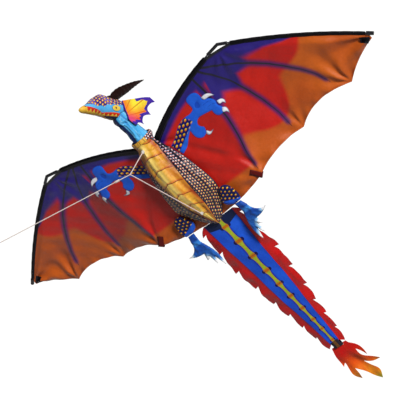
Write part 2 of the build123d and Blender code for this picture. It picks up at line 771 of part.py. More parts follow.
FRILL_EDGE = (
    (18, 290),
    (62, 265),
    (100, 241),
    (111, 232),
    (116, 211),
    (78, 220),
    (57, 201),
    (28, 215),
    (9, 200),
    (-2, 216),
    (-17, 218),
    (-20, 245),
)
frill_face = Face(Polyline(*[on_frill(y, z) for y, z in FRILL_EDGE], close=True).wire())
with BuildPart() as frill:
    extrude(frill_face, amount=FRILL_T, dir=(1, 0, 0))
    add(head_form.part, mode=Mode.SUBTRACT)
save_pair(frill, "frill")

# =================== Bridle and flying line ===================
for name, (y, z) in (("bridle_front_leg", FRONT_LOOP), ("bridle_rear_leg", REAR_LOOP)):
    start = at(0, y, z)
    reach = start.length - TOW_KNOT_R - 0.2
    with BuildPart() as leg:
        with BuildSketch(Plane(origin=start, z_dir=start * -1)):
            Circle(BRIDLE_R)
        extrude(amount=reach)
        with Locations(start):
            Sphere(2.5)
    save(leg, name)
with BuildPart() as tow_knot:
    Sphere(TOW_KNOT_R)
save(tow_knot, "tow_knot")

line_dir = Vector(0, -math.cos(math.radians(LINE_RISE)), math.sin(math.radians(LINE_RISE)))
with BuildPart() as flying_line:
    with BuildSketch(Plane(origin=line_dir * (TOW_KNOT_R + 0.6), z_dir=line_dir)):
        Circle(LINE_R)
    extrude(amount=LINE_LENGTH - TOW_KNOT_R - 0.6)
save(flying_line, "flying_line")
with BuildPart() as line_knot:
    with BuildSketch(Plane(origin=line_dir * (LINE_KNOT_AT - 12), z_dir=line_dir)):
        Circle(3.2)
        Circle(LINE_R + 0.1, mode=Mode.SUBTRACT)
    extrude(amount=24)
    fillet(line_knot.edges().filter_by(GeomType.CIRCLE).group_by(SortBy.RADIUS)[-1], radius=1.2)
save(line_knot, "line_knot")
with BuildPart() as line_end_loop:
    with Locations(line_dir * (LINE_LENGTH + 3.3)):
        Sphere(3.0)
    with Locations(Location(Plane(origin=line_dir * (LINE_LENGTH + 5 + END_LOOP_R), z_dir=(1, 0, 0)))):
        Torus(END_LOOP_R, LINE_R)
save(line_end_loop, "line_end_loop")
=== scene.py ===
"""Looks for the dragon kite: printed sails, inflated body, stuffed head and legs, tail, bridle and line.

Shapes are worked out in millimetres from the kite's own datum (x = 0 and y = 0 on the spine
line, z = 0 at the level of the wing tips, belly towards -Y) and put into the row frame, in
metres, when each piece is made. Shapes with a hand are worked out for the right side and
mirrored for the left.
"""
import math

import bpy
import numpy as np
from mathutils import Matrix, Vector
from mathutils.geometry import delaunay_2d_cdt


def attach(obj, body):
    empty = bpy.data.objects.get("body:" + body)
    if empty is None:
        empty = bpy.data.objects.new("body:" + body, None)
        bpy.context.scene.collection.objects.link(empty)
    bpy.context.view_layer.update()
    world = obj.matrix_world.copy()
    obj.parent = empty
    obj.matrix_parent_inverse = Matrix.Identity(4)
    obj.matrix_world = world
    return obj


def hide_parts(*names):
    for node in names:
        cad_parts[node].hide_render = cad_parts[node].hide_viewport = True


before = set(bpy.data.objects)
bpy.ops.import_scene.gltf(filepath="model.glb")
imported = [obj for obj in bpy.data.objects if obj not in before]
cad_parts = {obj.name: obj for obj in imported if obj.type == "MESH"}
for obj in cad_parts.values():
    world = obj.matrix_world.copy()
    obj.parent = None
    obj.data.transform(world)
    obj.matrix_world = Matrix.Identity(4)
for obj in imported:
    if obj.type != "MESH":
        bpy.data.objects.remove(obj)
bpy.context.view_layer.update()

DATUM = np.array((0.0, 164.0, -147.0))  # the datum seen from the tow point
MM = 0.001
PI, ROUND = math.pi, 2 * math.pi
HANDS = ((1, "right"), (-1, "left"))
FAR = 99.0  # a distance past the reach of any print


def row(points):
    """Datum millimetres as metres in the row frame."""
    return (np.asarray(points, float) + DATUM) * MM


def linked(name, data):
    """A new object in the scene."""
    made = bpy.data.objects.new(name, data)
    bpy.context.scene.collection.objects.link(made)
    return made


# ---------------- Camera ----------------
AZIMUTH, ELEVATION, ROLL = (math.radians(a) for a in (33.3, 12.0, -43.5))
TARGET, DISTANCE = Vector((0.0, 0.164, -0.214)), 5.615
LENS, SENSOR, CLIP_END = 180, 36, 200
level = Vector((math.cos(AZIMUTH), math.sin(AZIMUTH), 0))
back = Vector((level.y * math.cos(ELEVATION), -level.x * math.cos(ELEVATION), math.sin(ELEVATION)))
rise = back.cross(level)
across = level * math.cos(ROLL) + rise * math.sin(ROLL)
upward = rise * math.cos(ROLL) - level * math.sin(ROLL)
camera = linked("camera", bpy.data.cameras.new("camera"))
turn = Matrix((across, upward, back)).transposed().to_4x4()
camera.matrix_world = Matrix.Translation(TARGET + back * DISTANCE) @ turn
camera.data.lens, camera.data.sensor_width, camera.data.clip_end = LENS, SENSOR, CLIP_END
bpy.context.scene.camera = camera

# ---------------- Shader nodes ----------------
DYE = 1.22  # how far the weaker channels of a colour are drawn down, for a bright dye
LONG = (1, 1, 0.3)  # stretches noise along the kite


def tint(code):
    """A hex colour as linear RGBA."""
    parts = [int(code[i : i + 2], 16) / 255 for i in (1, 3, 5)]
    parts = [c / 12.92 if c <= 0.04045 else ((c + 0.055) / 1.055) ** 2.4 for c in parts]
    most = max(max(parts), 1e-6)
    return tuple(most * (c / most) ** DYE for c in parts) + (1.0,)


class Value:
    """A number that a material works out; arithmetic on it adds nodes."""

    def __init__(self, shader, socket):
        self.shader, self.socket = shader, socket


def arithmetic(operation):
    return lambda *values: values[0].shader.math(operation, *values)


for method, operation in (
    ("__add__", "ADD"), ("__sub__", "SUBTRACT"), ("__mul__", "MULTIPLY"), ("__truediv__", "DIVIDE"),
    ("__abs__", "ABSOLUTE"), ("fract", "FRACT"), ("floor", "FLOOR"), ("root", "SQRT"), ("sine", "SINE"),
):
    setattr(Value, method, arithmetic(operation))


def span(a, b):
    return (a * a + b * b).root()


class Shader:
    """One material. Each call adds a node and returns its output; colours may be hex codes."""

    def __init__(self, name, sheen=0.03, specular=0.1, roughness=0.5, metallic=0.0, coat=0.0):
        self.material = bpy.data.materials.new(name)
        self.material.use_nodes = True
        self.nodes, self.links = self.material.node_tree.nodes, self.material.node_tree.links
        self.nodes.clear()
        self.surface = self.node("BsdfPrincipled", {
            "Roughness": roughness, "Sheen Weight": sheen, "Specular IOR Level": specular,
            "Metallic": metallic, "Coat Weight": coat})
        self.links.new(self.surface.outputs[0], self.node("OutputMaterial", {}).inputs[0])
        self.place = self.node("TexCoord", {}).outputs["Object"]

    def put(self, socket, value):
        if isinstance(value, Value):
            value = value.socket
        if isinstance(value, bpy.types.NodeSocket):
            self.links.new(value, socket)
        else:
            socket.default_value = tint(value) if isinstance(value, str) else value

    def node(self, kind, inputs, **settings):
        made = self.nodes.new("ShaderNode" + kind)
        for key, value in settings.items():
            setattr(made, key, value)
        for key, value in inputs.items():
            self.put(made.inputs[key], value)
        return made

    def math(self, operation, *values):
        return Value(self, self.node("Math", dict(enumerate(values)), operation=operation).outputs[0])

    def __getitem__(self, name):
        """A number that the mesh carries at each point."""
        return Value(self, self.node("Attribute", {}, attribute_name=name).outputs["Fac"])

    def step(self, value, low, high):
        """0 below low, 1 above high, smooth between; the other way round if low is the higher."""
        ends = (low, high, 0.0, 1.0) if low <= high else (high, low, 1.0, 0.0)
        inputs = dict(zip(("Value", "From Min", "From Max", "To Min", "To Max"), (value, *ends)))
        return Value(self, self.node("MapRange", inputs, interpolation_type="SMOOTHSTEP").outputs["Result"])

    def mix(self, share, a, b):
        return self.node("Mix", {0: share, 6: a, 7: b}, data_type="RGBA").outputs[2]

    def layers(self, colour, *over):
        """(share, colour) pairs laid over a colour, from the bottom up."""
        for share, top in over:
            colour = self.mix(share, colour, top)
        return colour

    def noise(self, scale, detail=2.0, stretch=(1, 1, 1)):
        inputs = {"Scale": scale, "Detail": detail, "Vector": self.scaled(stretch)}
        return Value(self, self.node("TexNoise", inputs).outputs["Fac"])

    def mottled(self, dark, light, scale, detail=2.0, stretch=(1, 1, 1)):
        return self.mix(self.noise(scale, detail, stretch), dark, light)

    def scaled(self, by):
        return self.node("VectorMath", {0: self.place, 1: by}, operation="MULTIPLY").outputs[0]

    def waves(self, pitch):
        """Crossed threads that run along all three axes, pitch metres apart."""
        sines = self.node("VectorMath", {0: self.scaled((ROUND / pitch,) * 3)}, operation="SINE").outputs[0]
        x, y, z = (Value(self, each) for each in self.node("SeparateXYZ", {0: sines}).outputs)
        return x * z + y * (x + z)

    def bump(self, height, strength, distance, after=None):
        inputs = {"Height": height, "Strength": strength, "Distance": distance}
        return self.node("Bump", inputs if after is None else {**inputs, "Normal": after}).outputs[0]

    def dots(self, u, v, pitch_u, pitch_v):
        """Staggered grid: share across the cell, share up the cell, distance from its centre."""
        rows = v / pitch_v
        odd = self.math("FLOORED_MODULO", rows.floor(), 2.0)
        along, up = (u / pitch_u + odd * 0.5).fract() - 0.5, rows.fract() - 0.5
        return along, up, span(along, up)

    def cloth(self, colour, weave=0.0011, depth=0.25, wear=0.05, crinkle=0.35, rough=(0.38, 0.6)):
        """Woven fabric of that colour: threads, ripstop grid, fine creases and slight fading."""
        fade = self.step(self.noise(9.0, 4.0), 0.35, 0.75)
        shade = self.noise(160.0) * 0.14 + 0.44 + fade * wear
        worn = self.node("VectorMath", {0: colour, "Scale": shade}, operation="SCALE").outputs[0]
        ripstop = self.step(abs(self.waves(0.012)), 0.05, 0.0)
        threads = self.bump(self.waves(weave), depth, 0.0003)
        grid = self.bump(ripstop, 0.12, 0.0004, threads)
        creases = self.bump(self.noise(38.0, 5.0), crinkle, 0.0035, grid)
        dull = self.noise(24.0, 3.0) * (rough[1] - rough[0]) + rough[0]
        for key, value in (("Base Color", worn), ("Normal", creases), ("Roughness", dull)):
            self.put(self.surface.inputs[key], value)
        return self.material


# ---------------- Curves and meshes ----------------
def pairs(a, b):
    return np.stack([a, b], -1)


def unit(vectors):
    return vectors / np.linalg.norm(vectors, axis=-1, keepdims=True)


def run_length(points):
    """Distance along each line of points from its start."""
    steps = np.linalg.norm(np.diff(points, axis=-2), axis=-1)
    return np.concatenate([np.zeros((*steps.shape[:-1], 1)), np.cumsum(steps, axis=-1)], -1)


def closed(loop):
    return np.vstack([loop, loop[:1]])


def circle(sides, ends=(0, ROUND)):
    return np.linspace(*ends, sides, endpoint=False)


def through(points, n=24):
    """n + 1 points of a smooth curve through the given ones."""
    p = np.asarray(points, float)
    t = run_length(p)
    h, m = np.diff(t), len(p)
    a, b = np.eye(m), np.zeros_like(p)
    for i in range(1, m - 1):
        a[i, i - 1 : i + 2] = h[i - 1], 2 * (h[i - 1] + h[i]), h[i]
        b[i] = 6 * ((p[i + 1] - p[i]) / h[i] - (p[i] - p[i - 1]) / h[i - 1])
    k = np.linalg.solve(a, b)
    u = np.linspace(0, t[-1], n + 1)
    i = np.clip(np.searchsorted(t, u, side="right") - 1, 0, m - 2)
    before, after, step = ((t[i + 1] - u) / h[i])[:, None], ((u - t[i]) / h[i])[:, None], h[i][:, None]
    bend = (before**3 - before) * k[i] + (after**3 - after) * k[i + 1]
    return before * p[i] + after * p[i + 1] + bend * step**2 / 6


def arc(a, b, c, n=24):
    """n + 1 points of the circular arc from a through b to c."""
    a, b, c = (np.asarray(v, float) for v in (a, b, c))
    u, v = b - a, c - a
    uu, vv, uv = u @ u, v @ v, u @ v
    centre = a + (vv * (uu - uv) * u + uu * (vv - uv) * v) / (2 * (uu * vv - uv * uv))
    one, radius = unit(a - centre), np.linalg.norm(a - centre)
    two = unit((b - centre) - ((b - centre) @ one) * one)
    end = math.atan2((c - centre) @ two, (c - centre) @ one) % ROUND
    t = np.linspace(0, end, n + 1)[:, None]
    return centre + radius * (np.cos(t) * one + np.sin(t) * two)


def chained(start, *runs):
    """Smooth curves end to end without their last point. A run is its n and the points after its start."""
    made = []
    for n, *run in runs:
        made.append(through((start, *run), n)[:-1])
        start = run[-1]
    return np.vstack(made)


def resampled(line, step):
    along = run_length(line)
    at = np.linspace(0, along[-1], max(3, int(along[-1] / step) + 1))
    return pairs(*(np.interp(at, along, line[:, k]) for k in range(2)))


def away(points, line):
    """Distance of each point from a line of points, and how far along it the nearest place is."""
    best, along, done = np.full(len(points), np.inf), np.zeros(len(points)), 0.0
    for a, b in zip(line[:-1], line[1:]):
        d = b - a
        long = np.linalg.norm(d)
        t = np.clip((points - a) @ d / max(long * long, 1e-12), 0, 1)
        far = np.linalg.norm(points - a - t[:, None] * d, axis=1)
        near = far < best
        best[near], along[near] = far[near], (done + t * long)[near]
        done += long
    return best, along


def smooth(x, low, high):
    t = np.clip((x - low) / (high - low), 0, 1)
    return t * t * (3 - 2 * t)


def bell(x):
    return np.exp(-(x**2))


def inside(points, outline):
    x, y = points[:, 0], points[:, 1]
    odd = np.zeros(len(points), bool)
    for (xa, ya), (xb, yb) in zip(outline, np.roll(outline, -1, axis=0)):
        crosses = (ya > y) != (yb > y)
        odd ^= crosses & (x < (xb - xa) * (y - ya) / (yb - ya if yb != ya else 1e-12) + xa)
    return odd


def fill(outline, pitch, hole=None):
    """Triangles that fill an outline, with points pitch apart inside: (points, triangles, edge distance)."""
    low, high = outline.min(0), outline.max(0)
    gx, gy = np.meshgrid(np.arange(low[0], high[0], pitch), np.arange(low[1], high[1], pitch * 0.87))
    gx[1::2] += pitch / 2
    grid = pairs(gx.ravel(), gy.ravel())
    loops = [outline] if hole is None else [outline, hole]
    for number, loop in enumerate(loops):
        grid = grid[inside(grid, loop) == (number == 0)]
        grid = grid[away(grid, closed(loop))[0] > 0.55 * pitch]
    edges = []
    for loop in loops:
        start = len(edges)
        edges += [(start + i, start + (i + 1) % len(loop)) for i in range(len(loop))]
    made = delaunay_2d_cdt([Vector(p) for p in np.vstack([*loops, grid])], edges, [], len(loops), 1e-5)
    points = np.array([tuple(v) for v in made[0]], float)
    faces = np.array([f for f in made[2]], int)
    a, b, c = (points[faces[:, i]] for i in range(3))
    turned = (b[:, 0] - a[:, 0]) * (c[:, 1] - a[:, 1]) - (b[:, 1] - a[:, 1]) * (c[:, 0] - a[:, 0]) < 0
    faces[turned] = faces[turned][:, ::-1]
    return points, faces, away(points, closed(outline))[0]


def grid_faces(rows, columns, around=False, ends_meet=False):
    """Quads of a grid of points that is stored row by row."""
    i, j = np.meshgrid(np.arange(rows - (not ends_meet)), np.arange(columns - (not around)), indexing="ij")
    here, above, k = i * columns, (i + 1) % rows * columns, (j + 1) % columns
    return np.stack([here + j, here + k, above + k, above + j], -1).reshape(-1, 4)


def capped(rows, columns):
    """Faces of a closed tube with both ends filled."""
    last = (rows - 1) * columns
    return grid_faces(rows, columns, True).tolist() + [list(range(columns))[::-1], list(range(last, last + columns))]


def normals(points, faces):
    """Unit normal at each point."""
    a, b, c = points[faces[:, 0]], points[faces[:, 1]], points[faces[:, -1]]
    made = np.zeros_like(points)
    for i in range(faces.shape[1]):
        np.add.at(made, faces[:, i], np.cross(b - a, c - a))
    return made / np.maximum(np.linalg.norm(made, axis=1, keepdims=True), 1e-12)


def thicken(points, faces, depth):
    """Closed shell of that thickness round a sheet."""
    n = normals(points, faces) * depth / 2
    size = len(points)
    loops = np.concatenate([faces[:, [i, (i + 1) % faces.shape[1]]] for i in range(faces.shape[1])])
    code = loops[:, 0].astype(np.int64) * size + loops[:, 1]
    rim = loops[~np.isin(code, loops[:, 1].astype(np.int64) * size + loops[:, 0])]
    sides = np.stack([rim[:, 1], rim[:, 0], rim[:, 0] + size, rim[:, 1] + size], -1)
    return np.vstack([points + n, points - n]), [*faces.tolist(), *(faces[:, ::-1] + size).tolist(), *sides.tolist()]


def listed(faces):
    return faces if isinstance(faces, list) else faces.tolist()


def piece(name, points, faces, material, body, node=None, marks=None, depth=None, hand=1):
    """A mesh piece from datum points; marks are numbers per point that its material reads.

    depth makes a closed shell of a sheet."""
    points = np.array(points, float)
    if hand < 0:
        points = points * (-1, 1, 1)
        faces = faces[:, ::-1] if isinstance(faces, np.ndarray) else [f[::-1] for f in faces]
    if depth:
        points, faces = thicken(points, faces, depth)
    mesh = bpy.data.meshes.new(name)
    mesh.from_pydata(row(points).tolist(), [], listed(faces))
    for key, values in (marks or {}).items():
        values = np.tile(np.ravel(values), 2 if depth else 1).astype(np.float32)
        mesh.attributes.new(key, "FLOAT", "POINT").data.foreach_set("value", values)
    mesh.polygons.foreach_set("use_smooth", np.ones(len(mesh.polygons), bool))
    mesh.materials.append(material)
    if depth:
        mesh.set_sharp_from_angle(angle=math.radians(50))
    mesh.update()
    made = linked(name, mesh)
    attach(made, body)
    if node:
        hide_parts(node)
    return made


def joined(parts):
    """Several (points, faces, marks) as one."""
    points, faces, start = [], [], 0
    for p, f, _ in parts:
        faces += [[int(i) + start for i in face] for face in f]
        points.append(p)
        start += len(p)
    marks = {k: np.concatenate([m[k].ravel() for _, _, m in parts]) for k in parts[0][2]}
    return np.vstack(points), faces, marks


def skin_round(path, profile, one, two):
    """Points of sections along a path. profile is (stations, sides, 2): along one and two."""
    return (path[:, None] + profile[..., :1] * one[:, None] + profile[..., 1:] * two[:, None]).reshape(-1, 3)


def sweep(path, profile, start, ends_meet=False):
    """Closed skin whose sections follow a path without twisting."""
    path = np.asarray(path, float)
    tangent = unit(np.gradient(path, axis=0))
    one, side = [], np.asarray(start, float)
    for t in tangent:
        side = unit(side - (side @ t) * t)
        one.append(side)
    points = skin_round(path, profile, np.array(one), np.cross(tangent, one))
    size = profile.shape[:2]
    return points, grid_faces(*size, True, True).tolist() if ends_meet else capped(*size)


def tube(path, radius, sides=12, start=(0.3, 1, 0.2), ends_meet=False):
    radii, t = np.broadcast_to(np.asarray(radius, float), (len(path),)), circle(sides)
    return sweep(path, radii[:, None, None] * pairs(np.cos(t), np.sin(t))[None], start, ends_meet)


def ribbon(path, across, width, depth, ends_meet=False):
    """Folded strap: a flat strip that follows a path and is width wide along across."""
    half, t = width / 2, depth / 2
    over = [(share * half, -t) for share in (-1, -1 / 3, 1 / 3, 1)]
    corner = np.array(over + [(a, -b) for a, b in over[::-1]])
    return sweep(path, np.broadcast_to(corner, (len(path), *corner.shape)), unit(np.asarray(across, float)), ends_meet)


CLOTH = {"quality": 6, "mass": 0.15, "tension_stiffness": 12, "compression_stiffness": 12, "shear_stiffness": 4,
         "bending_stiffness": 0.08, "vertex_group_mass": "held", "use_pressure": True}
FRAMES = 20


def puff(points, faces, held, grow, pressure, cap):
    """Closed fabric form blown up by cloth simulation; held points stay and none moves over cap mm."""
    mesh = bpy.data.meshes.new("puff")
    mesh.from_pydata((points * MM).tolist(), [], listed(faces))
    mesh.update()
    form = linked("puff", mesh)
    form.vertex_groups.new(name="held").add(np.flatnonzero(held).tolist(), 1.0, "REPLACE")
    cloth = form.modifiers.new("cloth", "CLOTH")
    for key, value in {**CLOTH, "uniform_pressure_force": pressure, "shrink_min": -grow}.items():
        setattr(cloth.settings, key, value)
    cloth.settings.effector_weights.gravity = 0
    cloth.point_cache.frame_end = FRAMES
    for number in range(1, FRAMES + 1):
        bpy.context.scene.frame_set(number)
    solved = form.evaluated_get(bpy.context.evaluated_depsgraph_get()).to_mesh()
    moved = np.zeros(len(points) * 3, np.float32)
    solved.vertices.foreach_get("co", moved)
    bpy.data.objects.remove(form)
    bpy.context.scene.frame_set(1)
    shift = moved.reshape(-1, 3) / MM - points
    far = np.linalg.norm(shift, axis=1, keepdims=True)
    return points + shift * np.minimum(1, cap / np.maximum(far, 1e-9))


# ---------------- Bridle and line ----------------
FRONT_LOOP, REAR_LOOP, TOW = np.array((0, -45.0, 150.0)), np.array((0, -42.0, -91.0)), -DATUM
LINE_RISE = math.radians(17.3)
LINE_DIR = np.array((0, -math.cos(LINE_RISE), math.sin(LINE_RISE)))
LINE_SIDE, LINE_UP = np.array((1, 0, 0)), np.cross(LINE_DIR, (1, 0, 0))
LINE_LENGTH, LINE_KNOT_AT, END_LOOP_R = 700.0, 71.0, 12.0
CORD_SIDES, STRANDS = 15, 3


def cord_material(name, dark, light):
    s = Shader(name, sheen=0.05)
    colour = s.mix(s.step(s["strand"], 0.15, 0.8), dark, light)
    return s.cloth(colour, weave=0.0006, depth=0.4, wear=0.04, crinkle=0.1, rough=(0.5, 0.75))


def cord(name, start, end, diameter, lay, material, slot, body, node, pieces):
    """Taut twisted cord between two points in datum millimetres."""
    curve = bpy.data.curves.new(name + "_route", "CURVE")
    curve.dimensions = "3D"
    spline = curve.splines.new("NURBS")
    spline.points.add(2)
    for point, place in zip(spline.points, row([start, (start + end) / 2, end])):
        point.co = (*place, 1)
    spline.order_u, spline.use_endpoint_u, spline.resolution_u = 3, True, 400
    holder = bpy.data.objects.new(name + "_route", curve)
    flat = bpy.data.meshes.new_from_object(holder)
    line = np.array([v.co for v in flat.vertices], float)
    bpy.data.objects.remove(holder)
    bpy.data.curves.remove(curve)
    bpy.data.meshes.remove(flat)
    along, turn = run_length(line) / MM, circle(CORD_SIDES)[None]
    bulge = np.abs(np.cos(STRANDS / 2 * (turn - (along * ROUND / lay)[:, None])))
    radius = diameter / 2 * (0.8 + 0.2 * bulge)
    points, faces = sweep(line / MM - DATUM, pairs(radius * np.cos(turn), radius * np.sin(turn)), (1, 0, 0))
    made = piece(name, points, faces, material, body, node, {"strand": bulge})
    line[0]
    along[-1] * MM
    diameter * MM


def knot(name, *tubes, material, body, slot, node):
    points, faces, _ = joined([(*each, {}) for each in tubes])
    strand = 0.5 + 0.5 * np.sin(points.sum(1) * 2.1)
    return piece(name, points, faces, material, body, node, {"strand": strand})


def coil(start, length, turns, n, reach, radius):
    """Turns of cord wound round the line."""
    t = np.linspace(0, turns * ROUND, n)
    path = TOW + np.outer(start + t / t[-1] * length, LINE_DIR)
    path += reach * (np.outer(np.cos(t), LINE_SIDE) + np.outer(np.sin(t), LINE_UP))
    return tube(path, radius, start=LINE_DIR)


bridle_look = {"material": cord_material("bridle_cord", "#b98f8a", "#fbeee9"), "body": "bridle", "slot": "bridle_cord"}
line_look = {"material": cord_material("line_cord", "#a58f88", "#f6ebe4"), "body": "line", "slot": "line_cord"}
t = circle(90)
trefoil = np.stack([np.sin(t) + 2 * np.sin(2 * t), np.cos(t) - 2 * np.cos(2 * t), -np.sin(3 * t)], -1)
tow_knot = knot("bridle_knot", tube(trefoil * 0.95 + TOW, 1.25, ends_meet=True), node="tow_knot", **bridle_look)
stopper = knot("line_stopper", coil(LINE_KNOT_AT - 10, 20, 9, 200, 2.1, 1.15), node="line_knot", **line_look)
t = circle(60)
loop = TOW + LINE_DIR * (LINE_LENGTH + 5 + END_LOOP_R)
loop = loop + END_LOOP_R * (np.outer(np.cos(t), LINE_DIR) + 0.8 * np.outer(np.sin(t), LINE_UP))
end_loop = knot("line_loop", tube(loop, 1.25, start=(1, 0, 0), ends_meet=True),
                coil(LINE_LENGTH - 1, 8, 4, 100, 1.9, 1.05), node="line_end_loop", **line_look)
for label, start in (("front", FRONT_LOOP), ("rear", REAR_LOOP)):
    cord(f"bridle_{label}", start, TOW - unit(TOW - start) * 2.5, 3.0, 9.0, node=f"bridle_{label}_leg",
         pieces=[tow_knot], **bridle_look)
cord("line", TOW + LINE_DIR * 3.0, TOW + LINE_DIR * (LINE_LENGTH + 4), 2.5, 8.0, node="flying_line",
     pieces=[stopper, end_loop], **line_look)

# ---------------- Wings ----------------
DIHEDRAL = math.radians(7)  # how far the leading edges slope back
COS, TAN = math.cos(DIHEDRAL), math.tan(DIHEDRAL)
ROOT, WRIST = (0.0, 0.0, 137.0), (266.0, 32.7, 228.0)
CUSP_3, CUSP_2, CUSP_1 = (204.0, 0.0, -110.0), (371.0, 63.0, -86.0), (562.0, 80.0, -68.0)
WING_TIP = (700.0, 85.5, 5.0)
INNER_BOW = arc((14, 141), (165, 205.5), (318, 240), 80)
OUTER_BOW = arc((384, 232), (545, 133), (706, 8), 80)
TOP_EDGE = np.vstack([INNER_BOW[:77] * (COS, 1), arc((299.7, 237.8), (340, 235), (381.1, 229), 20),
                      OUTER_BOW[1:] * (COS, 1)])
low = ((12, -138), (110, -131), (204, -110), (284, -84), (371, -86), (470, -51), (562, -68), (628, -27), (694, -3))
LOW_EDGE = np.vstack([low[:1]] + [arc(*low[i : i + 3])[1:] for i in range(0, len(low) - 2, 2)])
RIBS = [through(r, 40) * (COS, 1) for r in (
    ((276, 224), (340, 187), (417, 128), (475, 63), (510, 6), (525, -37)),
    ((264, 220), (298, 171), (329, 102), (345, 32), (352, -22), (352, -66)),
    ((236, 213), (240, 169), (241, 82), (231, 16), (216, -43), (210, -94)),
)]
CREASE_DIR = np.array((CUSP_3[0], CUSP_3[2] - ROOT[2])) / math.hypot(CUSP_3[0], CUSP_3[2] - ROOT[2])
# where folds spread from: x, z, reach, folds per radian, height, phase
PULLS = (
    (700, 5, 230, 11, 5.5, 0.4),
    (204, -110, 130, 8, 3.6, 1.0),
    (345, 236, 120, 9, 2.2, 0.0),
    (371, -86, 100, 7, 2.6, 2.0),
    (562, -68, 130, 8, 4.2, 0.7),
    (14, 141, 120, 10, 1.8, 0.2),
)


def edge_at(x, edge):
    return np.interp(x, edge[:, 0], edge[:, 1])


def from_wrist(x, z):
    """Distance from the wrist, and the direction in degrees."""
    return np.hypot(x - WRIST[0], z - WRIST[2]), np.degrees(np.arctan2(z - WRIST[2], x - WRIST[0]))


def plane_y(three, x, z):
    p, q, r = (np.array(v) for v in three)
    n = np.cross(q - p, r - p)
    return p[1] - (n[0] * (x - p[0]) + n[2] * (z - p[2])) / n[1]


def facets_y(x, z):
    """Stretched panels between the wrist and the trailing-edge corners."""
    turn = from_wrist(x, z)[1]
    y = plane_y((ROOT, CUSP_3, WRIST), x, z)
    for low, high, *corners in (
        (-100.4, -71.5, CUSP_3, CUSP_2), (-71.5, -45, CUSP_2, CUSP_1), (-45, 90, CUSP_1, WING_TIP),
    ):
        y = np.where((turn > low) & (turn <= high), plane_y((WRIST, *corners), x, z), y)
    crease = (z - ROOT[2]) * (CUSP_3[0] - ROOT[0]) - (x - ROOT[0]) * (CUSP_3[2] - ROOT[2])
    return np.where(crease < 0, 0.0, y)


def sail_y(x, z, hand=1):
    """Height of the printed sail, wrinkles and all."""
    soft = np.zeros_like(x)
    spots = [(0, 0)] + [(9 * math.cos(a), 9 * math.sin(a)) for a in np.arange(0, 6.2, PI / 4)]
    for dx, dz in spots:
        soft += facets_y(x + dx, z + dz) / len(spots)
    off_crease = -(x - ROOT[0]) * CREASE_DIR[1] + (z - ROOT[2]) * CREASE_DIR[0]
    y = np.where(np.abs(off_crease) < 14, facets_y(x, z), soft)
    y += 4.0 * bell((off_crease - 30) / 13) * smooth(x, 40, 90) * (1 if hand > 0 else 0.5)
    free = np.where(x < CUSP_3[0] + 8, 0.15 + 0.85 * smooth(np.abs(off_crease), 6, 30), 1)
    for cx, cz, reach, folds, height, phase in PULLS:
        r, turn = np.hypot(x - cx, z - cz), np.arctan2(z - cz, x - cx)
        wave = np.sin(folds * turn + phase * hand + 0.8 * np.sin(3 * turn + phase))
        y += height * wave * bell(r / reach) * smooth(r, 4, 40) * free
    y += (1.3 * np.sin(x / 31 + z / 47 + hand) * np.sin(z / 23 - x / 61) + 0.5 * np.sin(x / 11 - z / 9 + hand)) * free
    held = smooth(edge_at(x, TOP_EDGE) - z, 5, 34)
    flutter = 1.6 * np.sin(x / 7.5 + hand) * (1 - smooth(z - edge_at(x, LOW_EDGE), 0, 26))
    return (y + flutter) * held + x * TAN * (1 - held)


def on_sail(flat, hand, ahead=0.0):
    """Points on the sail, or ahead of it."""
    return np.stack([flat[:, 0], sail_y(flat[:, 0], flat[:, 1], hand) - ahead, flat[:, 1]], 1)


def sail_print():
    s = Shader("sail_print", specular=0.25)
    spray = (s.noise(14.0, 3.0) - 0.5) * 0.25
    hem = s["hem"]
    colour = s.layers(
        s.mottled("#b40c00", "#e02c06", 6.0),
        (s.step(s["orange"] + spray, 0.2, 0.8), s.mottled("#b4500a", "#dc7a1c", 7.0)),
        (s.step(s["glow"], 0.05, 1.0) * 0.9, "#3c0f5e"),
        (s.step(s["violet"] + spray, 0.1, 0.95), s.mottled("#1c0c5c", "#331a8a", 5.0)),
        (s.step(s["rib"], 1.0, -0.6), "#0e0820"),
        (s.step(s["band"], 3.5, -3.5), "#08070c"),
        (s.step(abs(hem - 5.0), 0.9, 0.3) * 0.45, "#7a2a0a"),
        (s.step(hem, 1.6, 0.6) * 0.5, "#8a3010"),
    )
    return s.cloth(colour, crinkle=0.5, rough=(0.34, 0.56))


